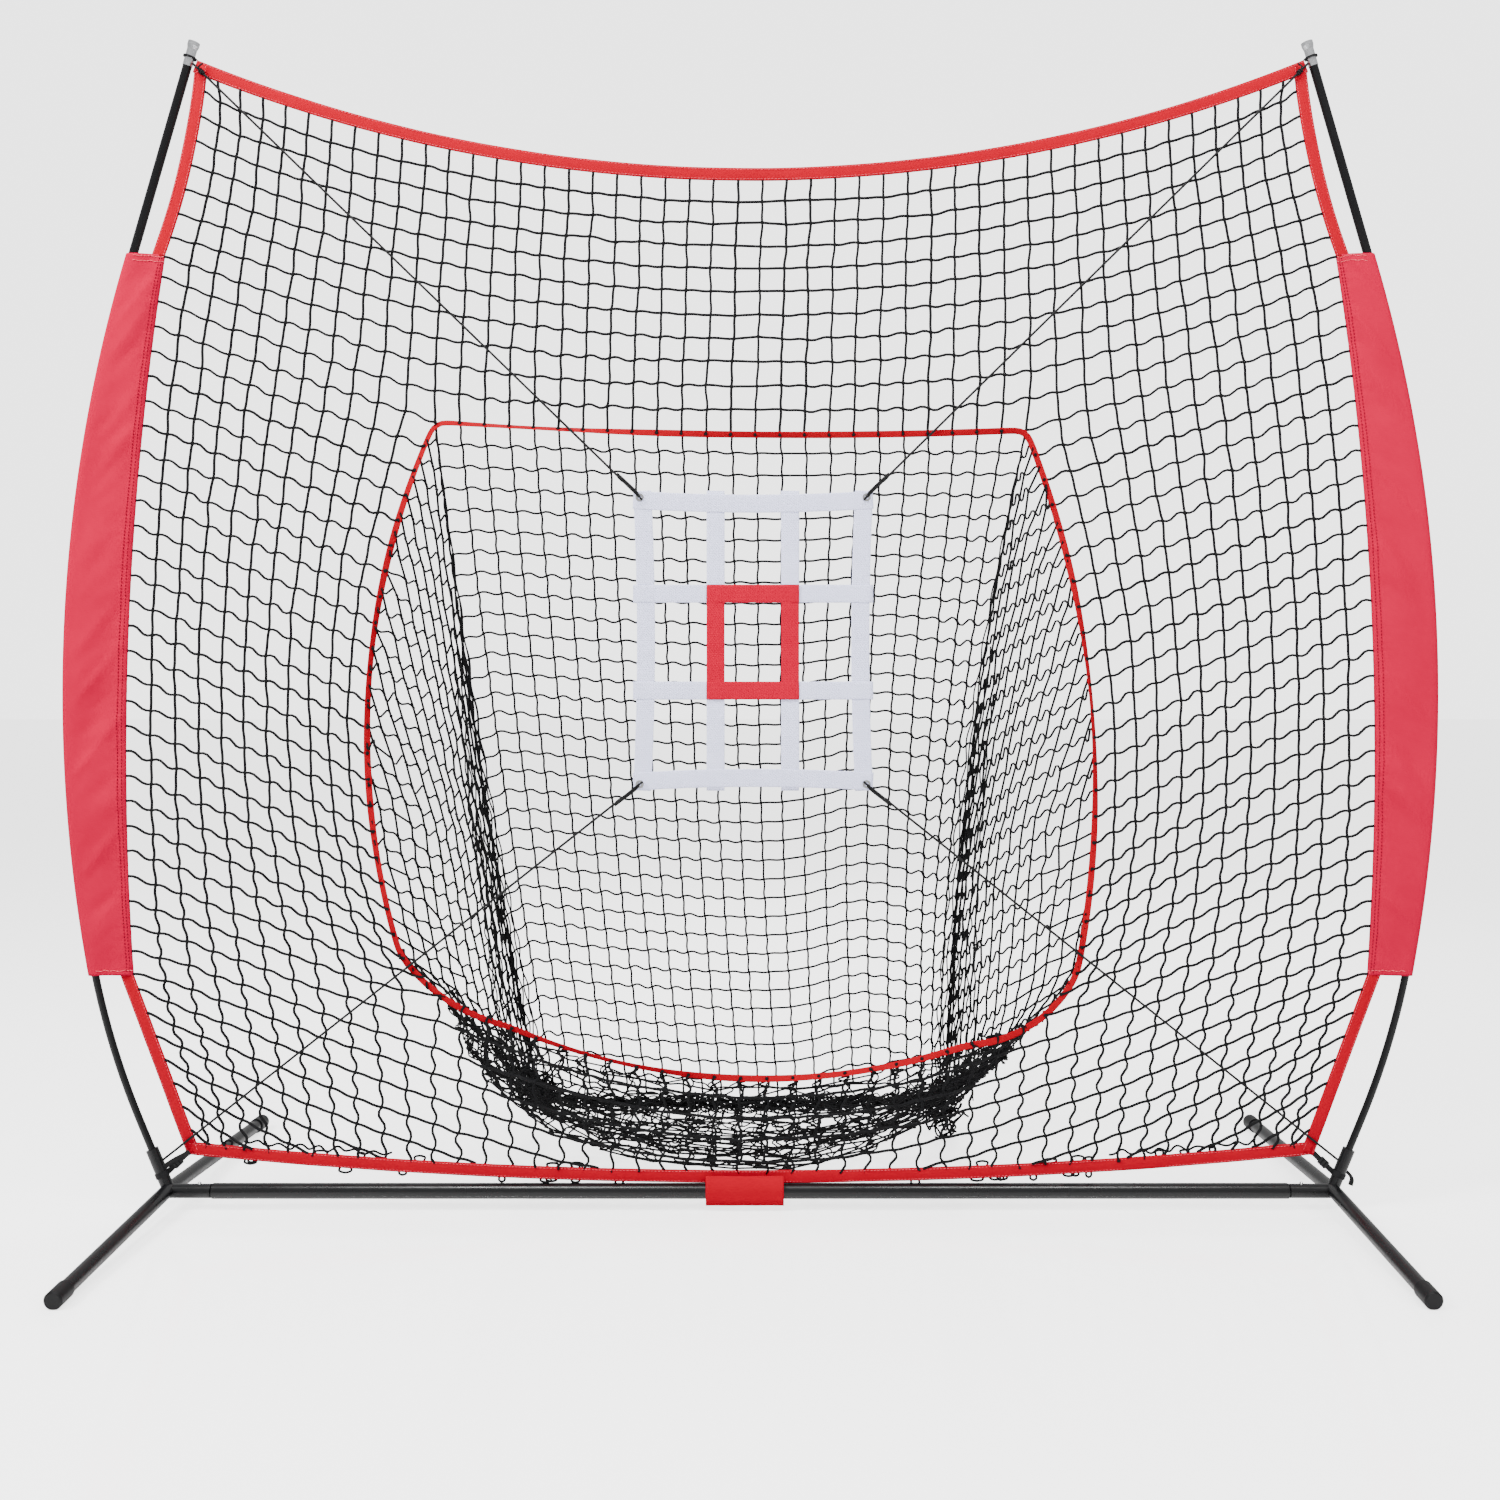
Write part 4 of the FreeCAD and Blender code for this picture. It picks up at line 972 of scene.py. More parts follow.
def wavy(crossings, swing, out=(0, 1, 0)):
    """Twine through its crossings, with a slack S between each pair; swing is how far it bends."""
    line = []
    steps = np.arange(STEPS_PER_MESH) / STEPS_PER_MESH
    for a, b in zip(crossings, crossings[1:]):
        run = b - a
        across = np.cross(run, np.asarray(out, float))
        across = across / max(np.linalg.norm(across), 1e-9)
        bend = swing(a, b) * CHANCE.uniform(0.6, 1.3)
        lean = bend * CHANCE.uniform(-0.35, 0.35)
        for t in steps:
            aside = bend * math.sin(2 * math.pi * t) + lean * math.sin(math.pi * t)
            line.append(a + run * t + across * aside)
    line.append(crossings[-1])
    return np.array(line)


def cut_below(line):
    """The stretches of a twine that lie above the bottom tape."""
    above = np.array([p[2] > bottom_hem(p[0]) + HEM for p in line])
    stretches = []
    start = None
    for k, inside in enumerate(above):
        if inside and start is None:
            start = k
        if not inside and start is not None:
            stretches.append(line[max(start - 1, 0):k + 1])
            start = None
    if start is not None:
        stretches.append(line[max(start - 1, 0):])
    return [s for s in stretches if len(s) > 2]


def row_swing(a, b):
    """Level twine bends most half way up and lies almost straight near the wall's top and foot."""
    side = -math.tanh((a[0] + b[0]) * 2.5)
    height = (a[2] + b[2]) / 2
    belt = math.exp(-((height - 1.05) / 0.62) ** 4)
    return side * (0.0010 + 0.0026 * belt)


def column_swing(a, b):
    """Upright twine hangs almost straight high up and bends more towards the foot."""
    side = -1 if a[0] < 0 else 1
    low = max(0.0, 1.0 - a[2] / 0.85)
    return side * (0.0006 + 0.0050 * low)


def wall_netting():
    grid = wall_grid()
    first, last = MOUTH_COLUMNS
    high, deep = MOUTH_ROWS
    rows = Parts()
    for r in range(1, WALL_ROWS):
        spans = [(0, WALL_COLUMNS)]
        if high <= r <= deep:
            spans = [(0, first), (last, WALL_COLUMNS)]
        for start, end in spans:
            for line in cut_below(wavy(grid[r, start:end + 1], row_swing)):
                rows.add(*tube(line, TWINE_R))
    columns = Parts()
    for c in range(1, WALL_COLUMNS):
        spans = [(0, WALL_ROWS)]
        if first <= c <= last:
            spans = [(0, high), (deep, WALL_ROWS)]
        for start, end in spans:
            for line in cut_below(wavy(grid[start:end + 1, c], column_swing)):
                columns.add(*tube(line, TWINE_R))
    knots = Parts()
    for r in range(1, WALL_ROWS):
        for c in range(1, WALL_COLUMNS):
            place = grid[r, c]
            inside = high < r < deep and first < c < last
            if not inside and place[2] > bottom_hem(place[0]):
                knot(knots, place)
    net_finished(rows, "wall_level_twine", "front_net")
    net_finished(columns, "wall_upright_twine", "front_net")
    net_finished(knots, "wall_knots", "front_net")


def tape_loops():
    """Slack twine caught under the bottom tape: small loops, and a loose strand on each side."""
    parts = Parts()
    for side in (-1, 1):
        for _ in range(LOOP_COUNT):
            x = side * CHANCE.uniform(*LOOP_SPAN)
            down = -1 if CHANCE.random() < 0.6 else 1
            edge = bottom_hem(x) + down * (BORDER_W / 2 - 0.002)
            wide = CHANCE.uniform(*LOOP_WIDTH)
            reach = down * CHANCE.uniform(*LOOP_REACH)
            loop = [at((x - wide, edge), LOOP_DEPTH),
                    at((x - wide * 1.2, edge + reach * 0.7), LOOP_DEPTH),
                    at((x, edge + reach), LOOP_DEPTH - 0.001),
                    at((x + wide * 1.2, edge + reach * 0.7), LOOP_DEPTH),
                    at((x + wide, edge), LOOP_DEPTH)]
            parts.add(*tube(rounded(np.array(loop), 5), BAG_TWINE_R, BAG_SIDES))
    for side in (-1, 1):
        line = []
        for x in np.linspace(*LOOSE_SPAN, 90):
            wander = 0.006 * noise.noise(Vector((x * 30, side, 0)))
            height = bottom_hem(x) + BORDER_W / 2 + LOOSE_LIFT + wander
            line.append(at((side * x, height), LOOSE_DEPTH))
        parts.add(*tube(strand(np.array(line), 0.0035, 9.0, side), BAG_TWINE_R, BAG_SIDES))
    net_finished(parts, "wall_foot_loops")


def bag_foot(side):
    return np.array(BAG_FOOT[side]) + (0, NET_Y, 0)


def bag_seam(side, count):
    """Down the bag's side seam, from the mouth's top corner to the bag's foot."""
    middle = np.array(BAG_SEAM_MID[side]) + (0, NET_Y, 0)
    return arc(at(MOUTH_EDGE[side][0]), middle, bag_foot(side), count)


def slack_swing(twine, side=1):
    """A bend rule for twine of a given length: the closer its knots, the deeper its S."""
    def swing(a, b):
        span = float(np.linalg.norm(b - a))
        return side * 0.25 * math.sqrt(max(twine ** 2 - span ** 2, 0.0))
    return swing


def shares(widths):
    """Places from 0 to 1 for columns of the given widths."""
    run = np.concatenate([[0.0], np.cumsum(widths)])
    return run / run[-1]


def back_rise(t):
    """How far a row of the back panel stands above the straight line between its seams."""
    first = LEFT_CREST * (1 - math.exp(-t / 0.02)) * math.exp(-t / 0.35)
    second = RIGHT_CREST * math.exp(-((t - 0.8) / 0.12) ** 2)
    return (first + second) * (1 - t ** 30)


def back_grid():
    """Crossings of the bag's back, drawn together towards its seams lower down."""
    left = bag_seam(-1, BACK_ROWS + 1)
    right = bag_seam(1, BACK_ROWS + 1)
    grid = []
    for r in range(BACK_ROWS + 1):
        share = r / BACK_ROWS
        swell = BACK_SWELL * math.sin(math.pi * share)
        widths = np.ones(BACK_COLUMNS)
        widths[-len(BACK_TIGHT_RIGHT):] -= share ** 0.6 * np.array(BACK_TIGHT_RIGHT)
        widths[:len(BACK_TIGHT_LEFT)] -= share * np.array(BACK_TIGHT_LEFT)
        lift = min(1.0, 2.0 * share)
        row = []
        for t in shares(widths):
            crown = 4 * t * (1 - t)
            offset = np.array((0, swell * crown, back_rise(t) * lift - BAG_SAG * crown * 0.6))
            row.append(left[r] * (1 - t) + right[r] * t + offset)
        grid.append(row)
    return np.array(grid)


def side_rows(side):
    """The side panel's rows of crossings, from the seam out to the mouth's edge."""
    edge = spaced(mouth_edge(side), SIDE_ROWS + 1)
    seam = bag_seam(side, SIDE_ROWS + 1)
    rows = []
    for r in range(SIDE_ROWS + 1):
        level = r / SIDE_ROWS
        width = float(np.linalg.norm(edge[r] - seam[r]))
        tight = GATHER[side] * min(1.0, level * 1.6) * np.exp(-np.arange(40) / GATHER_REACH)
        fan = SIDE_FAN[0] + (SIDE_FAN[1] - SIDE_FAN[0]) * level
        places = np.cumsum(MESH * (1 - tight) * fan)
        places = places[places < width - MESH / 4] / max(width, MESH)
        row = [seam[r]]
        for t in places:
            bow = 0.012 * math.sin(math.pi * t) * math.sin(math.pi * level)
            loose = (CHANCE.gauss(0, 0.0015), CHANCE.gauss(0, 0.0025), CHANCE.gauss(0, 0.0025))
            row.append(seam[r] * (1 - t) + edge[r] * t - (side * bow, 0, 0) + loose)
        row.append(edge[r])
        rows.append(np.array(row))
    return rows


def side_net(side, hand):
    """A bag side; its columns keep their distance from the seam and end at the mouth's edge."""
    rows = side_rows(side)
    parts = Parts()
    along = slack_swing(MESH * 1.04, -1)
    down = slack_swing(MESH * 1.02, 0.5)
    for row in rows[1:]:
        parts.add(*tube(wavy(row, along, (side, 0, 0)), BAG_TWINE_R, BAG_SIDES))
        for place in row[1:-1]:
            knot(parts, place, BAG_TWINE_R * BAG_KNOT_SHARE)
    for k in range(1, max(len(row) for row in rows) - 1):
        line = []
        for above, row in zip([rows[0]] + rows, rows):
            if len(row) > k + 1:
                if not line:
                    line.append(above[-1])
                line.append(row[k])
        if len(line) > 2:
            parts.add(*tube(wavy(np.array(line), down, (side, 0, 0)), BAG_TWINE_R, BAG_SIDES))
    net_finished(parts, "bag_%s_net" % hand, "bag_%s_side" % hand)


def loose_by(amount, shape):
    """Small seeded shifts for a grid of crossings."""
    count = int(np.prod(shape))
    return np.array([CHANCE.gauss(0, amount) for _ in range(count)]).reshape(shape)


def hollow(left, right, low, count):
    """A hollow hung between two points, fuller on its left, down to a given height."""
    turn = np.linspace(0, math.pi, 60)
    middle = (left + right) / 2
    across = np.cos(turn)[:, None] * (left - right)[None] / 2
    full = np.where(turn < math.pi / 2, *BELLY_FULLNESS)
    drop = (middle[2] - low) * np.sin(turn) ** full
    line = middle + across
    line[:, 2] -= drop
    return spaced(line, count)


def belly_rows():
    """Four cross rows of the belly: mouth, front fold, back fold, foot."""
    mouth = spaced(mouth_foot(), BACK_COLUMNS + 1)
    rows = [mouth]
    left_foot = bag_foot(-1)
    right_foot = bag_foot(1)
    for depth, low in BELLY_LOW:
        share = depth / BAG_DEPTH
        left = mouth[0] * (1 - share) + left_foot * share
        right = mouth[-1] * (1 - share) + right_foot * share
        rows.append(hollow(left, right, low, BACK_COLUMNS + 1))
    rows.append(hollow(left_foot, right_foot, right_foot[2] - BAG_SAG, BACK_COLUMNS + 1))
    return rows


def belly_grid(inset, looseness):
    """The belly's crossings; inset draws a second, crumpled layer inside the first."""
    rows = belly_rows()
    grid = np.zeros((BELLY_ROWS + 1, BACK_COLUMNS + 1, 3))
    for c in range(BACK_COLUMNS + 1):
        corners = np.array([row[c] for row in rows])
        grid[:, c] = spaced(rounded(corners), BELLY_ROWS + 1)
    centre = np.mean(grid, axis=(0, 1)) + (0, 0, 0.25)
    inward = centre - grid
    inward /= np.linalg.norm(inward, axis=2)[:, :, None]
    crumple = loose_by(looseness, grid.shape)
    crumple[0] = 0
    crumple[:, :, 2] = np.abs(crumple[:, :, 2])
    slide = np.sin(np.linspace(0, math.pi, BELLY_ROWS + 1))[:, None, None] * inset
    return grid + inward * slide + crumple


def rounded(corners, count=12):
    """A smooth line through corner points."""
    before = 2 * corners[0] - corners[1]
    after = 2 * corners[-1] - corners[-2]
    padded = np.concatenate([[before], corners, [after]])
    out = []
    for a, b, c, d in zip(padded, padded[1:], padded[2:], padded[3:]):
        for t in np.arange(count) / count:
            out.append(0.5 * (2 * b + (c - a) * t + (2 * a - 5 * b + 4 * c - d) * t * t
                              + (3 * b - a - 3 * c + d) * t ** 3))
    out.append(corners[-1])
    return np.array(out)


def net_piece(name, grid, swings, out, replaced=None, radius=BAG_TWINE_R):
    """Twine along a grid's rows and columns with knots at its crossings."""
    parts = Parts()
    rows, columns = grid.shape[:2]
    for r in range(1, rows):
        parts.add(*tube(wavy(grid[r], swings[0], out), radius, BAG_SIDES))
    for c in range(columns):
        parts.add(*tube(wavy(grid[:, c], swings[1], out), radius, BAG_SIDES))
    for r in range(1, rows - 1):
        for c in range(1, columns - 1):
            knot(parts, grid[r, c], radius * BAG_KNOT_SHARE)
    net_finished(parts, name, replaced)


def net_finished(parts, name, replaced=None):
    dress(parts.made(name), TWINE, replaced)


def back_column_swing(a, b):
    """The bag's upright twine carries its weight and bends little."""
    return 0.0010


def back_row_swing(a, b):
    """The bag's level twine is slack, and more so where its columns crowd together."""
    side = -math.tanh((a[0] + b[0] - 0.16) * 3.0)
    return side * 0.0030 + side * slack_swing(MESH * 0.9)(a, b) * 0.5


def bag_netting():
    net_piece("bag_back_net", back_grid(), (back_row_swing, back_column_swing), (0, 1, 0), "bag_back")
    side_net(-1, "left")
    side_net(1, "right")
    loose = (slack_swing(MESH * 1.05), slack_swing(MESH * 1.05))
    net_piece("bag_belly_net", belly_grid(0.0, 0.006), loose, (0, 0, 1), "bag_bottom", BELLY_TWINE_R)
    net_piece("bag_belly_inner", belly_grid(0.022, 0.011), loose, (0, 0, 1), None, LOOSE_R)
    seam_gathers()
    foot_gathers()


def strand(line, spread, waves, turn):
    """A loose strand that wanders round a line."""
    first, second = frames(line)
    run = lengths(line) / lengths(line)[-1]
    swing = np.sin(run * waves * 2 * math.pi + turn) * spread
    drift = np.cos(run * waves * 1.7 * math.pi + turn * 2.3) * spread
    return line + first * swing[:, None] + second * drift[:, None]


def loose_strand(parts, line, spread, waves):
    """A seeded loose strand along a line, with a range for how many waves it makes."""
    line = strand(line, spread, CHANCE.uniform(*waves), CHANCE.uniform(0, 6))
    parts.add(*tube(line, LOOSE_R, BAG_SIDES))


def seam_gathers():
    """Gathered twine down the side seams: a few strands at the top, a broad sheaf at the foot."""
    parts = Parts()
    for side, count, width in SEAM_SHEAVES:
        for k in range(count):
            begin = 0.0 if k < 2 else CHANCE.uniform(0.1, 0.6)
            line = bag_seam(side, 240)[int(begin * 200):]
            run = lengths(line) / BAG_HEIGHT + begin
            place = (k / count - 0.25) * width * CHANCE.uniform(0.8, 1.2)
            line = line + np.outer(np.clip(run, 0, 1) * place, (side, -0.4, 0))
            spread = np.interp(run, (0, 0.3, 1), (0.0006, 0.0020, 0.0034))
            loose_strand(parts, line, spread * CHANCE.uniform(0.6, 1.2), (9, 16))
        for _ in range(count // 2):
            place = bag_seam(side, 200)[int(200 * CHANCE.uniform(0.5, 0.98))]
            aside = (side * CHANCE.uniform(0, width * 0.7), 0, 0)
            parts.add(*tube(curl(place + aside, 0.008), LOOSE_R, BAG_SIDES))
    net_finished(parts, "bag_seam_gathers")


def foot_gathers():
    """The crumpled band where belly and back meet, and the lumps at the bag's two corners."""
    parts = Parts()
    ends = [bag_foot(side) for side in (-1, 1)]
    foot = arc(ends[0], (ends[0] + ends[1]) / 2 - (0, 0, BAG_SAG), ends[1], 150)
    for _ in range(FOOT_STRANDS):
        line = foot + (0, 0, CHANCE.gauss(0, 0.008))
        loose_strand(parts, line, 0.006 * CHANCE.uniform(0.4, 1.2), (14, 30))
    rows = belly_grid(0.0, 0.004)
    for column in (0, 1, -2, -1):
        for _ in range(EDGE_STRANDS):
            line = rounded(rows[4:, column], 5)
            loose_strand(parts, line, 0.007 * CHANCE.uniform(0.5, 1.2), (6, 12))
    for end, (size, lift) in zip(ends, CORNER_LUMPS):
        for _ in range(CURLS_PER_LUMP):
            place = end + (CHANCE.gauss(0, size * 0.35), CHANCE.gauss(0, size * 0.2),
                           lift + CHANCE.gauss(0, size * 0.45))
            loop = curl(place, size * 0.6)
            loop[:, 2] = np.maximum(loop[:, 2], BAG_TWINE_R + CURL_CLEARANCE)
            parts.add(*tube(loop, BAG_TWINE_R, BAG_SIDES))
    net_finished(parts, "bag_foot_gathers")


def curl(centre, size):
    """A short curl of slack twine near a point."""
    turns = CHANCE.uniform(0, 6)
    points = []
    for k in range(9):
        t = turns + k * CHANCE.uniform(0.5, 0.9)
        r = size * CHANCE.uniform(0.5, 1.0)
        reach = (math.cos(t) * r, math.sin(t * 1.3) * r * 0.6, math.sin(t) * r * 1.1)
        points.append(centre + np.array(reach))
    return rounded(np.array(points), 4)


# ---------------------------------------------------------------- tapes and sleeves

def tape(name, line, replaced):
    """A folded binding tape along the wall's edge."""
    ripple = np.array([noise.noise(Vector((p[0] * 9, 0, p[2] * 9))) for p in line])
    line = line + ripple[:, None] * np.array((0.0, 0.0015, 0.0))
    made = piece(name, *ribbon(line, (0, -1, 0), BORDER_W, BORDER_T, 12))
    dress(made, RED_TAPE, replaced)


def tape_stitches(lines):
    """Two rows of stitches along each tape, on its front and its back."""
    parts = Parts()
    for line in lines:
        across = np.cross(directions(line), (0, 1, 0))
        for inset in (-TAPE_STITCH, TAPE_STITCH):
            for face in (-1, 1):
                row = line + across * inset + (0, face * BORDER_T * 0.47, 0)
                stitch_row(parts, row, TAPE_STITCH_SIZE, (0, face, 0), 4)
    dress(parts.made("tape_stitches"), THREAD)


def tapes():
    top = sagging_edge(TOP_CORNER, TOP_SAG_Z, 90) - (0, 0, BORDER_W / 2)
    tape("top_tape", top, "top_border")
    bottom = sagging_edge(BOTTOM_CORNER, BOTTOM_SAG_Z, 90) + (0, 0, BORDER_W / 2)
    tape("bottom_tape", bottom, "bottom_border")
    upper = upper_edge()
    lower = lower_edge()
    tape("right_upper_tape", upper, "right_upper_border")
    tape("left_upper_tape", flipped(upper), "left_upper_border")
    tape("right_lower_tape", lower, "right_lower_border")
    tape("left_lower_tape", flipped(lower), "left_lower_border")
    tape_stitches([top, bottom, upper, flipped(upper), lower, flipped(lower)])


def sleeve_edges(hand):
    """The sleeve's outer line round the pole and its sewn inner line, top to bottom."""
    sleeve = np.array([v.co for v in NODES[hand + "_pole_sleeve"].data.vertices])
    side = SIDE_OF[hand]
    outer = []
    for height in (SLEEVE_TOP[1], (SLEEVE_TOP[1] + SLEEVE_BOTTOM[1]) / 2, SLEEVE_BOTTOM[1]):
        near = sleeve[np.abs(sleeve[:, 2] - height) < SLEEVE_BAND]
        outer.append(at(((near[:, 0] * side).max(), height)))
    inner = [at(SLEEVE_TOP), at(SLEEVE_MID), at(SLEEVE_BOTTOM)]
    return by_height(arc(*outer, 200)), by_height(arc(*inner, 200))


def by_height(line):
    """The same line at evenly spaced heights from top to bottom."""
    heights = np.linspace(SLEEVE_TOP[1], SLEEVE_BOTTOM[1], SLEEVE_ROWS)
    order = np.argsort(line[:, 2])
    return np.interp(heights, line[order, 2], line[order, 0]), heights


def sleeve_front(side, x_in, centre, z):
    """The sleeve's front at one height, from its sewn edge to the pole, as (x, y) points."""
    points = []
    for k in range(SLEEVE_FLAT_STEPS):
        t = k / SLEEVE_FLAT_STEPS
        x = x_in + (centre - x_in) * t
        depth = SLEEVE_LOOP * 0.92 * t ** 0.9
        crease = fold(side, x, z) * math.sin(math.pi * min(t * 1.05, 1.0)) ** 0.8
        crease += pucker(side, z) * math.exp(-abs(x - x_in - 0.010) / 0.010)
        points.append((x, -0.0012 - depth - crease))
    return points


def sleeve_round(centre):
    """The part of the sleeve that turns round the pole, as (x, y) points."""
    points = []
    for k in range(SLEEVE_ROUND_STEPS + 1):
        turn = -math.pi / 2 + math.pi * k / SLEEVE_ROUND_STEPS
        points.append((centre + SLEEVE_LOOP * math.cos(turn), SLEEVE_LOOP * math.sin(turn)))
    return points


def sleeve(hand):
    """A tube of nylon folded round the pole and sewn flat along its inner edge."""
    side = SIDE_OF[hand]
    (outer, heights), (inner, _) = sleeve_edges(hand)
    grid = []
    for x_out, x_in, z in zip(outer, inner, heights):
        centre = x_out - SLEEVE_LOOP
        front = sleeve_front(side, x_in, centre, z)
        back = [(x, -y) for x, y in reversed(front)]
        grid.append([(side * x, NET_Y + y, z) for x, y in front + sleeve_round(centre) + back])
    grid = np.array(grid)
    across = lengths(grid[0])
    along = SLEEVE_TOP[1] - heights
    made = cloth("%s_sleeve" % hand, grid, across, along, SLEEVE_CLOTH)
    dress(made, RED_CLOTH, "%s_pole_sleeve" % hand)
    sleeve_stitches(hand, grid[:, :SLEEVE_FLAT_STEPS])


def fold(side, x, z):
    """How far the nylon stands proud in soft slanting folds at a place on the sleeve."""
    slant = noise.noise(Vector((side * 3.1, (x * 1.6 + z) * 9.0, (z - x) * 3.0)))
    fine = noise.noise(Vector((side * 5.7, (x * 0.8 + z) * 34.0, (z - x) * 9.0)))
    ridge = max(0.0, 0.20 - abs(noise.noise(Vector((side * 8.3, (x * 1.3 + z) * 8.0, 0.0))))) * 5.0
    return 0.0090 * slant + 0.0022 * fine + 0.0034 * ridge


def pucker(side, z):
    """The small gathers that the seam's stitching pulls into the cloth."""
    gather = noise.noise(Vector((side * 2.3, z * 70.0, 0.0)))
    fine = noise.noise(Vector((side, z * 160.0, 0)))
    return -0.0026 * abs(gather) - 0.0012 * fine


def stitch_row(parts, line, size, out, sides=5):
    """Short threads along a seam; size is a stitch's length, its step and its radius."""
    length, step, radius = size
    run = lengths(line)
    for k in range(int(run[-1] / step)):
        marks = np.array([k * step, k * step + length / 2, k * step + length])
        points = np.stack([np.interp(marks, run, line[:, j]) for j in range(3)], axis=1)
        points[1] += np.array(out) * radius
        parts.add(*tube(points, radius, sides))


def sleeve_stitches(hand, front):
    """Stitches down the sleeve's seam, coloured dark as painted shade of the needle holes, and pale
    ones round its two rolled hems.
    """
    seam = Parts()
    for column in SEAM_COLUMNS:
        line = front[:, column] - (0, STITCH_LIFT, 0)
        stitch_row(seam, line, SEAM_STITCH_SIZE, (0, -1, 0))
    # The seam stitches' dark colour is painted shade of the needle holes.
    dress(seam.made("%s_seam_stitches" % hand), SEAM_THREAD_PAINTED_SHADE)
    hems = Parts()
    for row in HEM_ROWS:
        line = spaced(front[row], 60) - (0, STITCH_LIFT, 0)
        wander = [noise.noise(Vector((p[0] * 90, p[2] * 5, 0))) for p in line]
        line = line + np.outer(wander, (0, 0, 0.003))
        stitch_row(hems, line, HEM_STITCH_SIZE, (0, -1, 0))
    dress(hems.made("%s_hem_stitches" % hand), THREAD)


def mouth_tape():
    """The red tape sewn round the mouth, twisted so that it shows now flat, now edge on."""
    loop = joined(arc(at(MOUTH_TOP_LEFT), at(MOUTH_TOP_MID), at(MOUTH_TOP_RIGHT), 60),
                  arc(at(MOUTH_TOP_RIGHT), at(MOUTH_RIGHT_MID), at(MOUTH_RIGHT_LOW), 60),
                  arc(at(MOUTH_RIGHT_LOW), at(MOUTH_RIGHT_CORNER), at(MOUTH_BOTTOM_RIGHT), 20),
                  arc(at(MOUTH_BOTTOM_RIGHT), at(MOUTH_BOTTOM_MID), at(MOUTH_BOTTOM_LEFT), 60),
                  arc(at(MOUTH_BOTTOM_LEFT), at(MOUTH_LEFT_CORNER), at(MOUTH_LEFT_LOW), 20),
                  arc(at(MOUTH_LEFT_LOW), at(MOUTH_LEFT_MID), at(MOUTH_TOP_LEFT), 60))
    loop = spaced(loop, MOUTH_TAPE_POINTS)
    for _ in range(MOUTH_TAPE_SMOOTHINGS):
        loop[1:-1] = (loop[:-2] + 2 * loop[1:-1] + loop[2:]) / 4
        loop[0] = loop[-1] = (loop[-2] + 2 * loop[0] + loop[1]) / 4
    level = np.cross(directions(loop), (0, 1, 0))
    run = lengths(loop)
    roll = 0.35 * np.sin(run * 9.0) + 0.55 * np.sin(run * 4.1 + 1.0)
    facing = np.array((0, -1, 0)) * np.cos(roll)[:, None] + level * np.sin(roll)[:, None]
    made = piece("mouth_tape", *ribbon(loop, facing, MOUTH_TAPE_W, MOUTH_TAPE_T, 10))
    dress(made, MOUTH_TAPE, "mouth_trim")


def crossbar_tab():
    """A fabric loop hung from the bottom tape round the crossbar."""
    low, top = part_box("crossbar_tab")
    half = (top[1] - low[1]) / 2 - TAB_INSET
    bottom = low[2] + TAB_INSET
    level = bottom + half
    profile = [(-half, top[2] + TAB_TUCK), (-half - TAB_SWELL, (top[2] + level) / 2)]
    for k in range(TAB_TURN_STEPS + 1):
        turn = math.pi + math.pi * k / TAB_TURN_STEPS
        profile.append((half * math.cos(turn), level + half * math.sin(turn)))
    profile += [(half + TAB_SWELL, (top[2] + level) / 2), (half, top[2] + TAB_TUCK)]
    places = np.linspace(low[0], top[0], 40)
    grid = []
    for y, z in profile:
        row = []
        for x in places:
            ripple = 0.0012 * noise.noise(Vector((x * 40, y * 30, z * 30)))
            row.append((x, NET_Y + y + ripple * (1 if y > 0 else -1), z))
        grid.append(row)
    along = lengths(np.array([(0, y, z) for y, z in profile]))
    made = cloth("crossbar_loop", np.array(grid), places, along, TAB_CLOTH)
    dress(made, RED_TAPE, "crossbar_tab")


# ---------------------------------------------------------------- target

def webbing(parts, start, end, layer, bow=(0, 0, 0)):
    """A strip of webbing in one of the target's layers; bow is how far its middle is drawn in."""
    line = np.linspace(start, end, STRAP_POINTS)
    share = np.linspace(0, 1, STRAP_POINTS)[:, None]
    run = lengths(line)
    line = line + 4 * share * (1 - share) * np.array(bow)
    line[:, 1] = NET_Y - (layer + 0.5) * STRAP_T
    line[:, 1] -= 0.0006 * np.sin(run * 70.0 + start[0] * 40 + start[2] * 30) ** 2
    parts.add(*ribbon(line, (0, -1, 0), STRAP_W, STRAP_T, 12))


def target():
    """Four upright and four level straps, with a red frame round the middle window."""
    low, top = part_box("target_vertical_straps")
    half = STRAP_W / 2
    columns = (low[0] + half, *INNER_COLUMNS, top[0] - half)
    levels = (low[2] + half, *INNER_LEVELS, top[2] - half)
    upright = Parts()
    for x, pull in zip(columns, (PULL, 0, 0, -PULL)):
        webbing(upright, (x, 0, low[2]), (x, 0, top[2]), 0, (pull, 0, 0))
    level = Parts()
    for z, pull in zip(levels, (PULL, 0, 0, -PULL)):
        webbing(level, (low[0], 0, z), (top[0], 0, z), 1, (0, 0, pull))
    centre = Parts()
    for x in INNER_COLUMNS:
        webbing(centre, (x, 0, levels[1] - half), (x, 0, levels[2] + half), 2)
    for z in INNER_LEVELS:
        webbing(centre, (columns[1] - half, 0, z), (columns[2] + half, 0, z), 2.3)
    for parts, name, node, finish, slot in (
            (upright, "target_uprights", "target_vertical_straps", WHITE_WEBBING, "white_webbing"),
            (level, "target_levels", "target_horizontal_straps", WHITE_WEBBING, "white_webbing"),
            (centre, "target_centre", "target_centre_frame", RED_WEBBING, "red_webbing")):
        dress(parts.made(name), finish, node, "target")


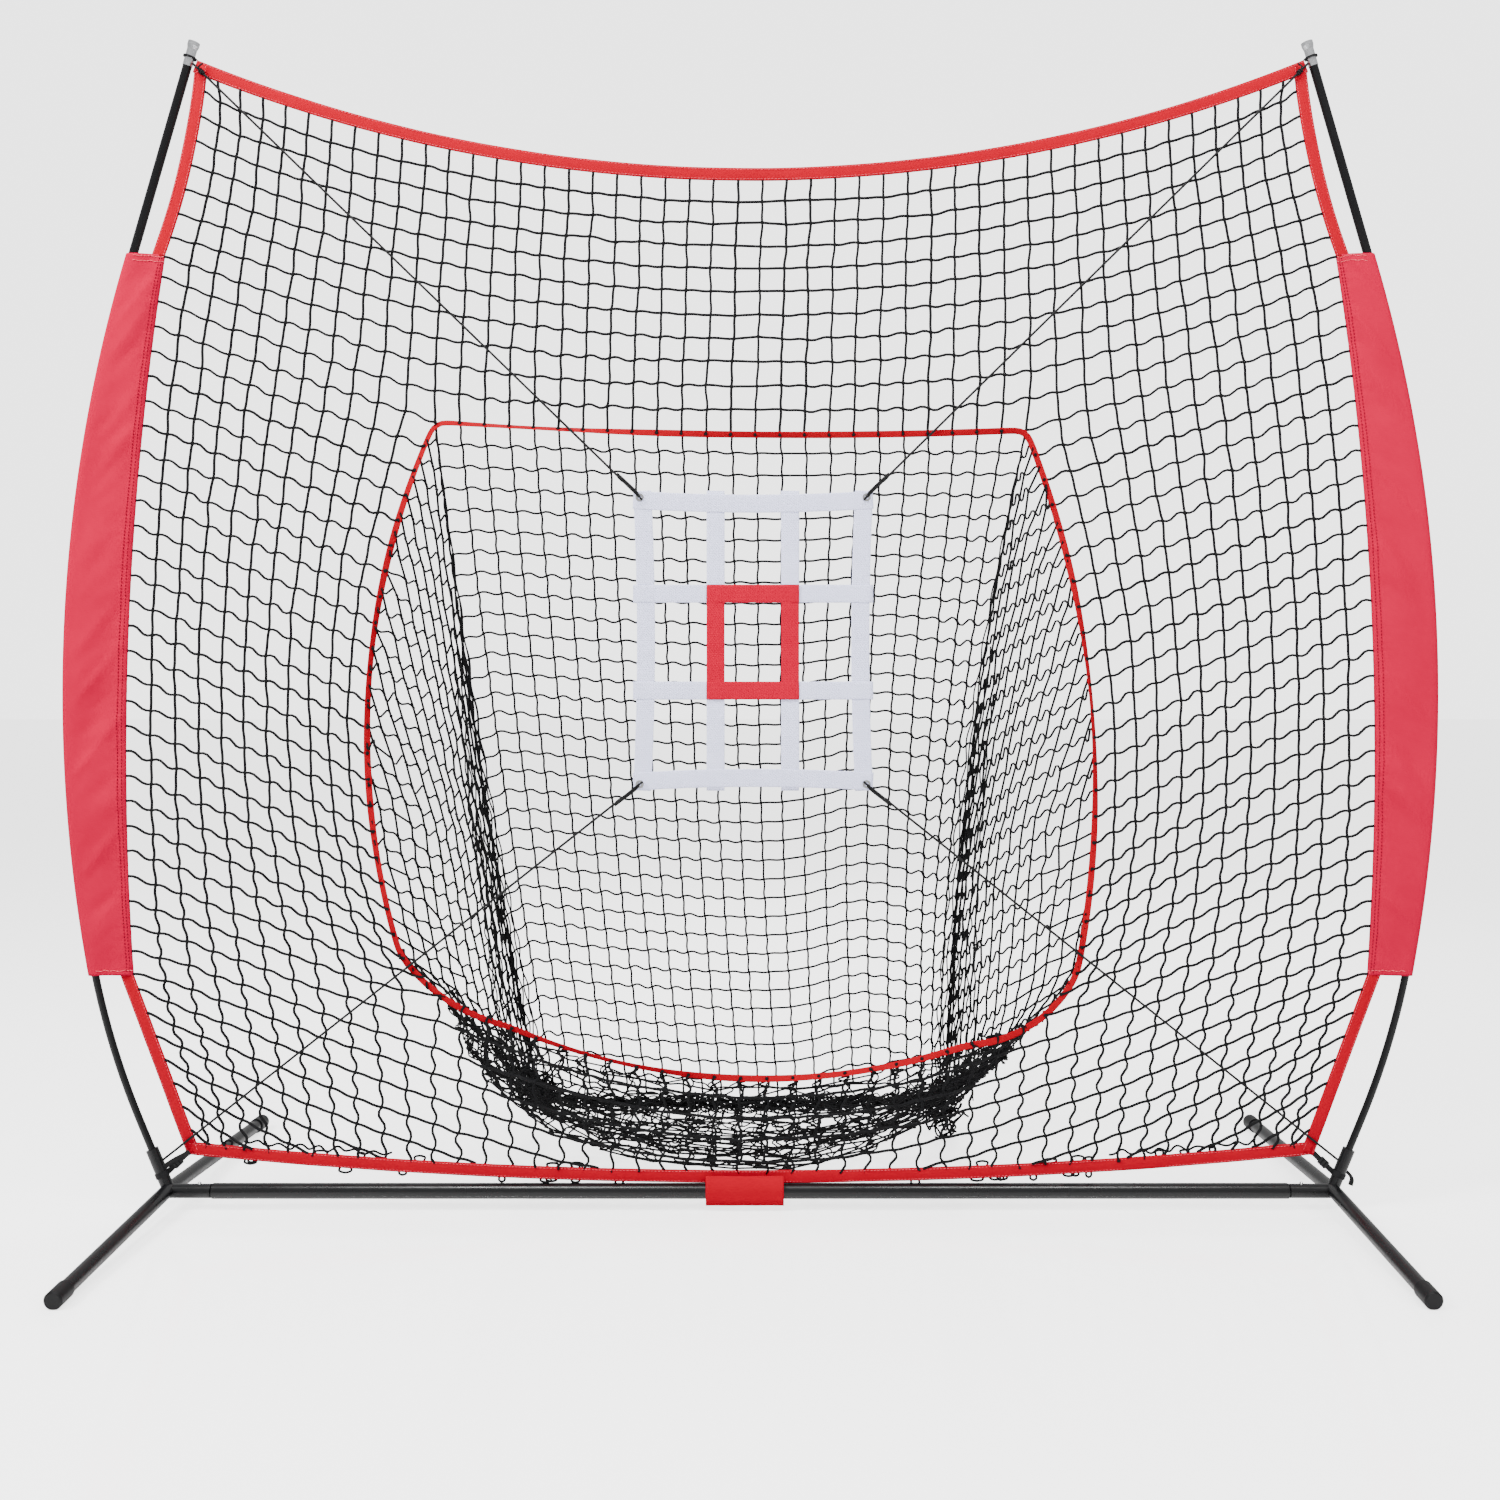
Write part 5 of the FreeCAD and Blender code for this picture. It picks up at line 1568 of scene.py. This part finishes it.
def corner_knots():
    """Where each upper cord is hitched at the wall's top corner: a lump of turns and a short tail."""
    parts = Parts()
    for side in (-1, 1):
        pole_end, eyelet = cord_ends(side, 1)
        ahead = (eyelet - pole_end) / np.linalg.norm(eyelet - pole_end)
        centre = pole_end + ahead * HITCH_AT
        turn = np.linspace(0, HITCH_TURNS * 2 * math.pi, HITCH_POINTS)
        first, second = frames(np.array([pole_end, eyelet]))
        along = np.linspace(-HITCH_HALF_LENGTH, HITCH_HALF_LENGTH, HITCH_POINTS)
        coil = (centre + np.outer(along, ahead)
                + np.outer(np.cos(turn), first[0]) * HITCH_COIL_R
                + np.outer(np.sin(turn), second[0]) * HITCH_COIL_R)
        parts.add(*tube(coil, HITCH_R, 6))
        tail = [centre,
                centre + (side * 0.003, -0.005, 0.007),
                centre + (side * -0.004, -0.004, 0.014)]
        parts.add(*tube(rounded(np.array(tail), 6), HITCH_R, 6))
    dress(parts.made("corner_hitches"), ELASTIC)


def tail_bends(side, buckle, socket):
    """A loose end's route: folded back beside the left buckle, curled out behind the right socket."""
    if side < 0:
        return [socket + (0, -0.004, 0.004),
                buckle + (0.004, -0.007, 0.004),
                buckle + (0.030, -0.009, 0.018),
                buckle + (0.036, -0.008, 0.022)]
    return [socket + (0.008, 0.012, 0.0),
            socket + (0.016, 0.010, -0.004),
            socket + (0.021, 0.004, -0.013),
            socket + (0.017, 0.0, -0.024)]


def strap_tails():
    """The lower straps' loose ends beside the two buckles."""
    low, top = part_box("lower_buckles")
    for hand, side in SIDE_OF.items():
        buckle = np.array((side * top[0], (low[1] + top[1]) / 2, (low[2] + top[2]) / 2))
        socket = buckle + (side * 0.022, 0, -0.018)
        line = spaced(rounded(np.array(tail_bends(side, buckle, socket)), 10), 30)
        facing = (0, -1, 0) if side < 0 else (0.4, -0.6, 0.7)
        made = piece("%s_strap_tail" % hand, *ribbon(line, facing, TAIL_W, TAIL_T, 6))
        dress(made, BLACK_WEBBING.material)


def cord_crimps():
    """The elastic's doubled end at each eyelet, held by a short black crimp."""
    parts = Parts()
    for side, high in EYELETS:
        pole_end, eyelet = cord_ends(side, high)
        ahead = (pole_end - eyelet) / np.linalg.norm(pole_end - eyelet)
        across = np.cross(ahead, (0, 1, 0)) * side * high
        begin = eyelet + ahead * CRIMP_AT
        tail = begin + ahead * CRIMP_LENGTH
        crimp = np.linspace(begin, tail + ahead * 0.004, len(CRIMP_SWELL)) + across * 0.0010
        parts.add(*tube(crimp, ELASTIC_D * np.array(CRIMP_SWELL), 8))
        doubled = [eyelet + (0, -0.001, 0),
                   eyelet + ahead * 0.012 + across * 0.0036,
                   begin + across * 0.0034,
                   tail + ahead * 0.006 + across * 0.0030]
        parts.add(*tube(rounded(np.array(doubled), 6), DOUBLED_R, 6))
        bight = [eyelet + (0, 0.004, 0) - ahead * 0.001,
                 eyelet - ahead * 0.006 + (0, 0.001, 0),
                 eyelet - ahead * 0.005 - (0, 0.003, 0),
                 eyelet - (0, 0.004, 0) + ahead * 0.004]
        parts.add(*tube(rounded(np.array(bight), 6), DOUBLED_R, 6))
    dress(parts.made("target_cord_crimps"), ELASTIC, body="target")


camera()
elastic_cords()
cord_crimps()
corner_knots()
strap_tails()
wall_netting()
tape_loops()
bag_netting()
mouth_tape()
tapes()
for hand in SIDE_OF:
    sleeve(hand)
crossbar_tab()
target()
NODES["upper_ties"].data.materials.clear()
NODES["upper_ties"].data.materials.append(BLACK_WEBBING.material)
dress_frame()
studio()
